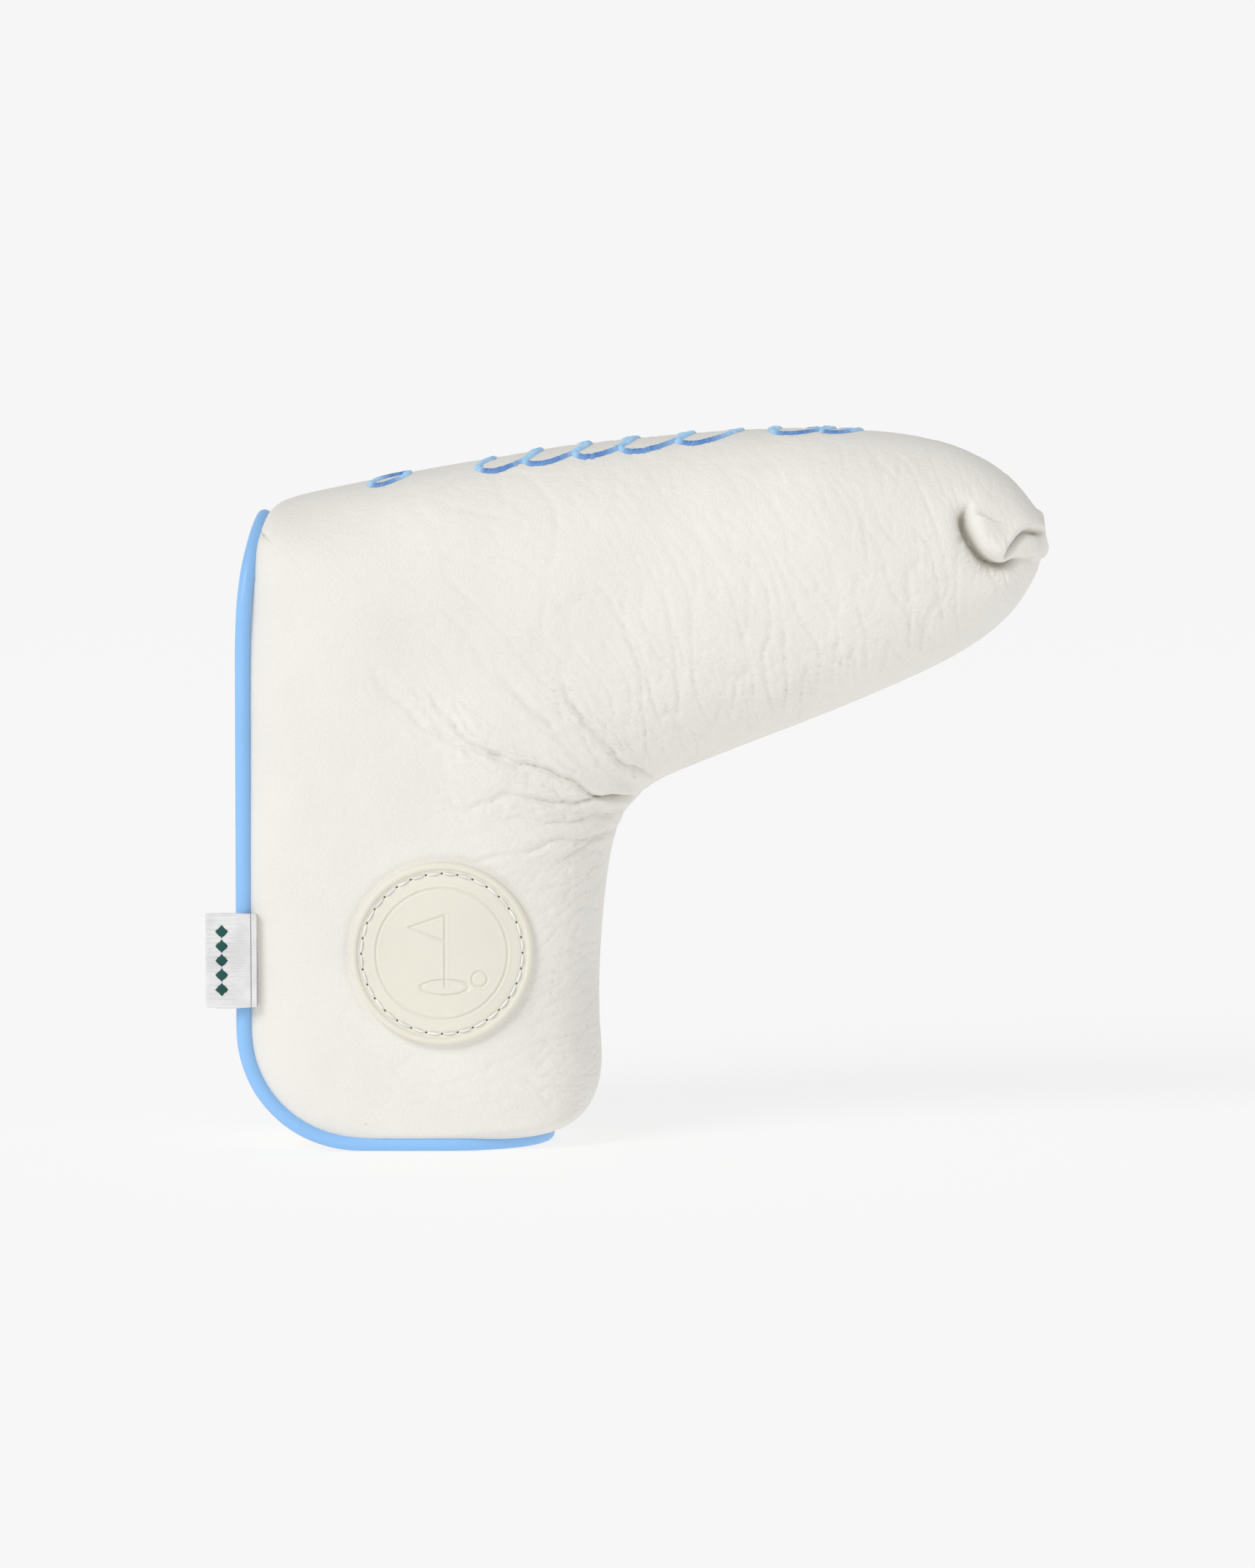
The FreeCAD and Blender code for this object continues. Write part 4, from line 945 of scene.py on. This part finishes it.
def join_tubes(name, lines, radius, middle=(0, 60, 60)):
    """Many short round threads as one object; each thins at its ends."""
    vertices, faces = [], []
    for line in lines:
        line = np.array(line)
        thin = radius * (0.45 + 0.55 * np.sin(np.pi * np.linspace(0, 1, len(line))) ** 0.5)
        points, quads = tube(line, thin, 8, False, middle)
        faces += [[k + len(vertices) for k in q] for q in quads]
        vertices += points.tolist()
    return add_mesh(name, vertices, faces)


stitch_lines, hole_spots = [], []
for k in range(STITCHES):
    start, end = 2 * np.pi * (k + 0.09) / STITCHES, 2 * np.pi * (k + 0.91) / STITCHES
    lean_in = 0.10 * math.sin(k * 2.1)
    stitch = []
    for t in np.linspace(0, 1, 9):
        lift = 0.82 + 0.40 * math.sin(math.pi * t) ** 0.6
        stitch.append(on_patch(start + (end - start) * t, STITCH_RING + lean_in * (t - 0.5), lift))
    stitch_lines.append(stitch)
    hole_spots.append(on_patch(2 * np.pi * k / STITCHES, STITCH_RING, 0.93))
patch_stitches = join_tubes("patch_stitches", stitch_lines, 0.24)
PIECES.append((patch_stitches, "cover", ("patch_thread",), "thread_white"))


def beads(name, spots, radius, flat):
    """Small flattened round spots, such as needle holes."""
    vertices, faces = [], []
    a = np.linspace(0, 2 * np.pi, 12, endpoint=False)
    for x, y, z in spots:
        first = len(vertices)
        for r, lift in ((1.0, 0.0), (0.6, 0.75), (0.0, 1.0)):
            wide = radius * r
            vertices += [(x + wide * math.cos(t), y - flat * lift, z + wide * math.sin(t)) for t in a]
        for ring in (0, 1):
            for k in range(12):
                low, high = first + 12 * ring, first + 12 * (ring + 1)
                faces.append([low + k, low + (k + 1) % 12, high + (k + 1) % 12, high + k])
        faces.append(list(range(first, first + 12))[::-1])
    return add_mesh(name, vertices, faces)


# painted shade: dark brown spots stand for the shade inside the patch's needle holes
needle_hole_shade_spots = beads("patch_needle_hole_shade", hole_spots, 0.2, 0.12)
PIECES.append((needle_hole_shade_spots, "cover", (), None))

# ------------------------------------------------------------------ crown seam and flap stitching
seam_column = plain[:, FRONT - 1]
seam_normal = normals[:, FRONT - 1]
seam_travel = travelled(seam_column)
first, last = np.argmax(seam_column[:, 2] > 12), np.argmax(seam_column[:, 0] > 72)


def seam_point(at, sunk):
    """A point along the crown seam's groove, sunk below the leather's face."""
    return read_along(seam_travel, seam_column, at) - read_along(seam_travel, seam_normal, at) * sunk


lines = []
for at in np.arange(seam_travel[first], seam_travel[last], 4.2):
    shares = np.linspace(0, 1, 7)
    lines.append([seam_point(at + 2.8 * t, 0.62 - 0.26 * math.sin(math.pi * t)) for t in shares])
crown_stitches = join_tubes("crown_stitches", lines, 0.26)
PIECES.append((crown_stitches, "cover", ("crown_seam_thread",), "thread_white"))

FLAP_STITCH_IN = 3.2
bottom, top, right = FLAP_BOTTOM + FLAP_STITCH_IN, FLAP_TOP - FLAP_STITCH_IN, FLAP_RIGHT - FLAP_STITCH_IN
bend = FLAP_CORNER - FLAP_STITCH_IN
quarter = np.radians(np.linspace(-90, 0, 16))
row = [(FLAP_LEFT + 9, 0, bottom), (right - bend, 0, bottom)]
row += [(right - bend + bend * math.cos(a), 0, bottom + bend + bend * math.sin(a)) for a in quarter]
row += [(right - bend + bend * math.cos(a), 0, top - bend + bend * math.sin(a)) for a in quarter + np.pi / 2]
row += [(FLAP_LEFT + 9, 0, top)]
row = resample(np.array(row), 0.1, False)
lines = []
for k in range(0, len(row) - 30, 36):
    lines.append([])
    for j in range(0, 29, 4):
        x, _, z = row[k + j]
        lift = FLAP_OUT - 0.85 + 0.42 * math.sin(math.pi * j / 28)
        lines[-1].append((x, face_y(x, z, 1) + lift, z))
flap_stitches = join_tubes("flap_stitches", lines, 0.28, (0, -60, 60))
PIECES.append((flap_stitches, "flap", ("flap_thread",), "thread_white"))

# ------------------------------------------------------------------ the woven tag
TAG_FRONT, TAG_RIGHT = tag_low[1], tag_high[0]
TAG_THICK = tag_high[1] - tag_low[1]
LAYER = 0.48
RIB_PITCH, RIB_HIGH = 0.9, 0.085
PLAIN_END = TAG_RIGHT - 2.6      # the ribs stop here, before the ribbon's cut end


def tag_path(depth, count=44):
    """The ribbon's path seen from above, at a depth inside its outer face."""
    radius = TAG_THICK / 2 - depth
    middle = (tag_low[0] + TAG_THICK / 2, TAG_FRONT + TAG_THICK / 2)
    front = [(x, TAG_FRONT + depth) for x in np.linspace(TAG_RIGHT, middle[0], count)]
    angles = np.linspace(0.2, math.pi - 0.2, 9)
    turn = [(middle[0] - radius * math.sin(a), middle[1] - radius * math.cos(a)) for a in angles]
    back = [(x, TAG_FRONT + TAG_THICK - depth) for x in np.linspace(middle[0], TAG_RIGHT, count)]
    return np.array(front + turn + back)


tag_rows = np.linspace(tag_low[2], tag_high[2], 150)
sheets = []
for depth, sign in ((0.0, 1), (LAYER, -1)):
    path = tag_path(depth)
    across = np.clip((PLAIN_END - path[:, 0]) / 0.6, 0, 1)
    centre_y = TAG_FRONT + TAG_THICK / 2
    points = np.zeros((len(tag_rows), len(path), 3))
    for k, z in enumerate(tag_rows):
        rib = RIB_HIGH * math.sin(2 * math.pi * z / RIB_PITCH)
        weave = 0.03 * np.sin(2 * np.pi * z / 0.36) * np.sin(2 * np.pi * path[:, 0] / 0.36)
        ripple = (rib * across + weave * (1 - across)) * sign
        away = np.sign(path[:, 1] - centre_y)
        wavy = 0.25 * np.sin((path[:, 0] - tag_low[0]) / 9.0 * math.pi)
        points[k, :, 0] = path[:, 0]
        points[k, :, 1] = path[:, 1] + away * ripple
        points[k, :, 2] = z + wavy * (-1 if z < 38 else 0.4)
    sheets.append(points)
tag = closed_pair("tag_ribbon", sheets[0], sheets[1])
PIECES.append((tag, "tag", ("side_tag",), "ribbon"))

pattern_vertices, pattern_faces = [], []
for k in range(5):
    x, z = tag_low[0] + 3.2, tag_low[2] + 2.1 + 1.414 + k * 2.85
    a, b = np.meshgrid(np.linspace(-1, 1, 17), np.linspace(-1, 1, 17))
    px, pz = (a + b) * 0.66, (a - b) * 0.66
    bulge = 0.16 * (1 - np.maximum(np.abs(a), np.abs(b)) ** 4) + 0.04 * np.sin(pz * 2 * np.pi / 0.33)
    points = np.stack([x + px, TAG_FRONT - 0.05 - bulge, z + pz], -1).reshape(-1, 3)
    pattern_faces += (grid_faces(17, 17) + len(pattern_vertices)).tolist()
    pattern_vertices += points.tolist()
tag_marks = add_mesh("tag_diamonds", pattern_vertices, pattern_faces)
PIECES.append((tag_marks, "tag", ("tag_pattern",), "tag_thread"))

# ------------------------------------------------------------------ embroidery along the spine
# each cloud is a row of lobes: place along the spine, radius, how far down the side the lobe comes
CLOUDS = [
    [(-49.0, 3.2, 8.8)],
    [(-25.6, 4.9, 10.6), (-16.5, 5.5, 10.4), (-7.1, 5.0, 9.8), (2.6, 6.3, 9.8), (12.8, 5.6, 8.6)],
    [(30.4, 5.5, 6.4), (38.4, 3.4, 5.6)],
]
BAND, BAND_HIGH, THREAD_PITCH = 1.5, 0.5, 0.42
SLANT, SLANT_FROM = 0.55, 9.0    # the lobes lean towards the neck's open end as they climb the spine


def spine_surface(x, y):
    """The leather's top face at a place seen from above."""
    hit = struck(leather_tree, (x, y, 200.0), (0, 0, -1))
    return hit if hit is not None else np.array([x, y, 130.0])


def lobe_arc(lobes, k, side):
    """The part of a lobe's circle that lies outside its neighbours, as points seen from above."""
    x, radius, reach = lobes[k]
    turn = np.linspace(-1.15, 1.15 if len(lobes) > 1 else 4.6, 60) * np.pi / 1.6
    points = np.stack([x + radius * np.sin(turn), side * (reach - radius + radius * np.cos(turn))], -1)
    keep = np.ones(len(points), bool)
    for j, (ox, other, oreach) in enumerate(lobes):
        if abs(j - k) == 1:
            away = np.hypot(points[:, 0] - ox, points[:, 1] - side * (oreach - other))
            keep &= away > other - (1.6 if j > k else 0.2)
    points[:, 0] += SLANT * (SLANT_FROM - np.abs(points[:, 1]))
    return points[keep]


def satin_band(vertices, faces, shines, line):
    """A raised band of parallel threads laid across a line seen from above. Threads that lie along the spine
    are painted lighter as a sheen, and each thread's crown gets a painted highlight; those that lie across it
    are painted darker."""
    travel = travelled(line)
    at = np.arange(0, travel[-1], THREAD_PITCH / 4)
    line = read_along(travel, line, at)
    way = np.gradient(line, axis=0)
    way /= np.linalg.norm(way, axis=1, keepdims=True)
    out = np.stack([way[:, 1], -way[:, 0]], -1)
    taper = np.clip(np.minimum(at, travel[-1] - at) / 1.0, 0.15, 1)
    first = len(vertices)
    for k in range(len(at)):
        ridge = 0.5 + 0.5 * abs(math.sin(math.pi * at[k] / THREAD_PITCH))
        thread = int(at[k] / THREAD_PITCH)
        uneven = (math.sin(thread * 12.99 + line[0, 0]) * 437.5) % 1.0
        fray = 0.34 * (uneven - 0.4)
        # painted sheen and highlight, with a random tone for each thread from uneven
        catch = float(smooth(0.35, 0.85, abs(way[k, 1])))
        shine = (0.12 + 0.75 * catch + 0.22 * (uneven - 0.5)) * (0.55 + 0.45 * (2 * ridge - 1))
        for c in np.linspace(-1, 1, 7):
            x, y = line[k] + out[k] * (c * BAND / 2 * taper[k] + fray * abs(c))
            base = spine_surface(x, y)
            lift = BAND_HIGH * (1 - c * c) ** 0.6 * (0.55 + 0.45 * ridge) * taper[k] + 0.03
            vertices.append(tuple(base + np.array([0, y / 40.0, 1.0]) * lift))
            shines.append(shine)
    faces += (grid_faces(len(at), 7) + first).tolist()


vertices, faces, shines = [], [], []
for lobes in CLOUDS:
    for side in (-1, 1):
        for k in range(len(lobes)):
            line = lobe_arc(lobes, k, side)
            if len(line) > 4:
                satin_band(vertices, faces, shines, line)
embroidery = add_mesh("cloud_embroidery", vertices, faces)
mark(embroidery, "shine", shines)
PIECES.append((embroidery, "cover", ("spine_embroidery",), "thread_blue"))


# ------------------------------------------------------------------ materials
WAVE_PITCH = math.pi / 10     # the wave texture repeats at this distance when its scale is 1


class Look:
    """A node material being built, with short ways to add its nodes."""

    def __init__(self, name):
        self.made = bpy.data.materials.new(name)
        self.made.use_nodes = True
        self.nodes = self.made.node_tree.nodes
        self.link = self.made.node_tree.links.new
        self.shader = self.nodes["Principled BSDF"].inputs
        self.place = self.nodes.new("ShaderNodeTexCoord").outputs["Object"]

    def add(self, kind, **values):
        """A new node. Each value goes to the socket of that name, with _ for a space, or to a property."""
        node = self.nodes.new("ShaderNode" + kind)
        for key, value in values.items():
            socket = key.replace("_", " ")
            if socket in node.inputs:
                node.inputs[socket].default_value = value
            else:
                setattr(node, key, value)
        return node

    def scaled(self, size):
        """Object coordinates divided by a size in millimetres, which may differ by axis."""
        size = size if hasattr(size, "__len__") else (size, size, size)
        node = self.add("Mapping", Scale=[1 / (s * MM) for s in size])
        self.link(self.place, node.inputs["Vector"])
        return node.outputs["Vector"]

    def mottle(self, size, detail, output="Fac", **values):
        """Noise of a size in millimetres."""
        node = self.add("TexNoise", Scale=1.0, Detail=detail, **values)
        self.link(self.scaled(size), node.inputs["Vector"])
        return node.outputs[output]

    def ranged(self, value, **ends):
        """A value spread between other ends."""
        node = self.add("MapRange", **ends)
        self.link(value, node.inputs["Value"])
        return node.outputs["Result"]

    def vary(self, factor, dark, light, low=0.3, high=0.7):
        """A colour between two, chosen by a factor."""
        ramp = self.add("ValToRGB")
        stops = ramp.color_ramp.elements
        stops[0].position, stops[1].position = low, high
        stops[0].color, stops[1].color = (*dark, 1), (*light, 1)
        self.link(factor, ramp.inputs["Fac"])
        return ramp.outputs["Color"]

    def finish(self, colour, rough, *layers):
        """Joins the colour, and the roughness if it varies, and stacks the bumps, whose depths are in
        millimetres."""
        self.link(colour, self.shader["Base Color"])
        if rough is not None:
            self.link(rough, self.shader["Roughness"])
        before = None
        for height_output, depth in layers:
            bump = self.add("Bump", Strength=1.0, Distance=depth * MM)
            self.link(height_output, bump.inputs["Height"])
            if before is not None:
                self.link(before, bump.inputs["Normal"])
            before = bump.outputs["Normal"]
        self.link(before, self.shader["Normal"])
        return self.made


def leather_material(name, colour, crease_shade, grain, grain_depth, rough, gloss=0.35):
    """Soft grained leather: pebbles with fine pores, cloudy colour, and painted shade in its creases."""
    look = Look(name)
    bent = look.add("VectorMath", operation="MULTIPLY_ADD")
    bent.inputs[1].default_value = (0.9, 0.9, 0.9)
    look.link(look.mottle(grain * 2.5, 2.0, "Color"), bent.inputs[0])
    look.link(look.scaled(grain), bent.inputs[2])
    cells = look.add("TexVoronoi", feature="DISTANCE_TO_EDGE", Scale=1.0)
    look.link(bent.outputs["Vector"], cells.inputs["Vector"])
    pebble = look.ranged(cells.outputs["Distance"], From_Max=0.28)
    pores = look.mottle(0.35, 5.0, Roughness=0.6)
    soft = look.mottle(3.0, 4.0)
    lighter = tuple(min(c * 1.02, 1) for c in colour)
    tone = look.vary(look.mottle(22.0, 3.0), tuple(c * 0.975 for c in colour), lighter)
    # painted shade: the crease attribute mixes the darker crease colour into the leather
    blend = look.add("Mix", data_type="RGBA")
    look.link(look.add("Attribute", attribute_name="crease").outputs["Fac"], blend.inputs["Factor"])
    look.link(tone, blend.inputs["A"])
    blend.inputs["B"].default_value = (*crease_shade, 1)
    look.shader["Specular IOR Level"].default_value = gloss
    return look.finish(blend.outputs["Result"], look.ranged(soft, To_Min=rough - 0.07, To_Max=rough + 0.08),
                       (soft, grain_depth * 3.0), (pebble, grain_depth), (pores, grain_depth * 0.6))


def fibre_material(name, colour, pitch, depth, rough, sheen=0.0, ribs=0.0):
    """Thread, ribbon, plush and foam: fine mottled fibres in a matt colour, with level ribs if asked."""
    look = Look(name)
    strands = look.mottle(pitch, 6.0, Roughness=0.7)
    both = look.add("Math", operation="MULTIPLY")
    look.link(strands, both.inputs[0])
    look.link(look.mottle(6.0, 2.0), both.inputs[1])
    stretch = look.ranged(both.outputs["Value"], From_Min=0.12, From_Max=0.4)
    look.shader["Sheen Weight"].default_value = sheen
    look.shader["Specular IOR Level"].default_value = 0.3
    layers = [(strands, depth)]
    if ribs:
        wave = look.add("TexWave", bands_direction="Z", Scale=WAVE_PITCH / ribs, Distortion=0.5)
        look.link(look.scaled(1.0), wave.inputs["Vector"])
        layers.append((wave.outputs["Fac"], 0.045))
    return look.finish(look.vary(stretch, tuple(c * 0.86 for c in colour), colour),
                       look.ranged(strands, To_Min=rough - 0.08, To_Max=rough + 0.06), *layers)


def satin_material(name, dark, light):
    """Silky embroidery thread, whose colour follows how each thread catches the light."""
    look = Look(name)
    fluff = look.mottle(0.2, 5.0)
    spread = look.add("Math", operation="MULTIPLY_ADD")
    spread.inputs[1].default_value = 0.3
    look.link(fluff, spread.inputs[0])
    look.link(look.add("Attribute", attribute_name="shine").outputs["Fac"], spread.inputs[2])
    look.shader["Roughness"].default_value = 0.42
    look.shader["Specular IOR Level"].default_value = 0.35
    return look.finish(look.vary(spread.outputs["Value"], dark, light, 0.1, 0.95), None, (fluff, 0.03))


def metal_material(name, colour):
    """Plated magnet faces with fine turning marks."""
    look = Look(name)
    marks = look.mottle((4.0, 4.0, 0.2), 5.0)
    look.shader["Metallic"].default_value = 1.0
    return look.finish(look.vary(marks, tuple(c * 0.85 for c in colour), colour),
                       look.ranged(marks, To_Min=0.24, To_Max=0.42), (marks, 0.01))


WHITE_LEATHER = (0.835, 0.812, 0.762)
# each leather's second colour is the painted shade that its creases are darkened to
looks = {
    "leather": leather_material("white_leather", WHITE_LEATHER, (0.56, 0.53, 0.47), 0.95, 0.035, 0.55),
    "patch_leather": leather_material("cream_leather", (0.80, 0.775, 0.675), (0.5, 0.46, 0.36),
                                      0.5, 0.010, 0.5),
    "piping": leather_material("blue_leather", (0.27, 0.53, 0.90), (0.05, 0.18, 0.55), 0.5, 0.010, 0.42, 0.5),
    "cord": fibre_material("cotton_cord", (0.85, 0.85, 0.83), 0.3, 0.05, 0.85),
    "foam": fibre_material("foam", (0.80, 0.80, 0.74), 0.5, 0.12, 0.9),
    "plush": fibre_material("plush", (0.50, 0.65, 0.88), 0.28, 0.35, 0.92, 0.5),
    "board": fibre_material("stiff_board", (0.25, 0.25, 0.26), 0.6, 0.03, 0.8),
    "magnet": metal_material("plated_magnet", (0.62, 0.62, 0.63)),
    "elastic": fibre_material("elastic_webbing", (0.85, 0.85, 0.85), 0.4, 0.08, 0.8),
    "thread_white": fibre_material("white_thread", (0.93, 0.93, 0.91), 0.16, 0.03, 0.6),
    # the thread's painted shade and painted sheen, as a dark and a light blue
    "thread_blue": satin_material("blue_thread", (0.07, 0.20, 0.55), (0.46, 0.74, 1.0)),
    "ribbon": fibre_material("grosgrain_ribbon", (0.83, 0.825, 0.83), 0.12, 0.012, 0.85, 0.1, 0.55),
    "tag_thread": fibre_material("green_thread", (0.012, 0.085, 0.075), 0.16, 0.03, 0.6),
    # painted shade: the dark brown of the shade inside the needle holes
    "hole": fibre_material("needle_hole_shade", (0.16, 0.12, 0.07), 0.2, 0.01, 0.9),
}


# how deep each vertex lies in a crease, from 0 to 1, for the painted shade that darkens the leather there
for obj in (leather, flap, binding, strip, patch, piping):
    mark(obj, "crease", painted_crease_shade if obj is leather else np.zeros(len(obj.data.vertices)))
for obj, body, nodes, slot in PIECES:
    obj.data.materials.clear()
    obj.data.materials.append(looks[slot or "hole"])
    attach(obj, body)
    if nodes:
        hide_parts(*nodes)
for node, look in (("sole_board", "board"), ("body_magnets", "magnet"), ("flap_magnets", "magnet"),
                   ("neck_elastic", "elastic"), ("tag_root", "ribbon")):
    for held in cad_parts[node].material_slots:
        held.material = looks[look]

# ------------------------------------------------------------------ floor, light and camera
STAGE_GLOW = 0.922
FLAT_TO, WALL_AT = 2.4, 3.4     # metres: where the floor starts to rise, and where it stands upright
profile = [(r, 0.0) for r in (0.00001, 0.1, 0.4, 1.0, FLAT_TO)]
profile += [(FLAT_TO + math.sin(a), 1.0 - math.cos(a)) for a in np.radians(np.linspace(9, 90, 10))]
profile += [(WALL_AT, 1.4)]
turns = np.linspace(0, 2 * np.pi, 72, endpoint=False)
points = np.array([[(r * math.cos(a), r * math.sin(a), h) for a in turns] for r, h in profile])
floor = grid_mesh("pale_floor", points / MM, True)
paper = Look("pale_paper")
away = paper.add("VectorMath", operation="LENGTH")
paper.link(paper.place, away.inputs[0])
for socket, near, far in (("Base Color", 0.24, 0.0), ("Emission Strength", 0.745, STAGE_GLOW)):
    spread = paper.ranged(away.outputs["Value"], interpolation_type="SMOOTHSTEP", From_Min=0.35, From_Max=2.2,
                          To_Min=near, To_Max=far)
    paper.link(spread, paper.shader[socket])
paper.shader["Roughness"].default_value = 1.0
paper.shader["Specular IOR Level"].default_value = 0.0
paper.shader["Emission Color"].default_value = (1, 1, 1, 1)
floor.data.materials.append(paper.made)

world = bpy.data.worlds.new("soft_sky")
bpy.context.scene.world = world
world.use_nodes = True
sky = world.node_tree.nodes["Background"]
sky.inputs["Color"].default_value = (1.0, 1.0, 1.0, 1)
sky.inputs["Strength"].default_value = 0.45


key_data = bpy.data.lights.new("key_light", "SUN")
key_data.energy, key_data.angle = 1.25, math.radians(28)
key_light = bpy.data.objects.new("key_light", key_data)
key_light.rotation_euler = (math.radians(52), 0, math.radians(-38))
bpy.context.scene.collection.objects.link(key_light)

cam_data = bpy.data.cameras.new("camera")
cam_data.lens, cam_data.sensor_width = 173.0, 36.0
camera = bpy.data.objects.new("camera", cam_data)
bpy.context.scene.collection.objects.link(camera)
CAMERA_TILT = math.radians(4.5)
CAMERA_AWAY = 1.5
AIM_Z = 0.0709
camera.location = (0, -CAMERA_AWAY * math.cos(CAMERA_TILT), AIM_Z + CAMERA_AWAY * math.sin(CAMERA_TILT))
camera.rotation_euler = (math.pi / 2 - CAMERA_TILT, 0, 0)
bpy.context.scene.camera = camera
bpy.context.scene.view_settings.view_transform = "Standard"

bpy.context.view_layer.update()
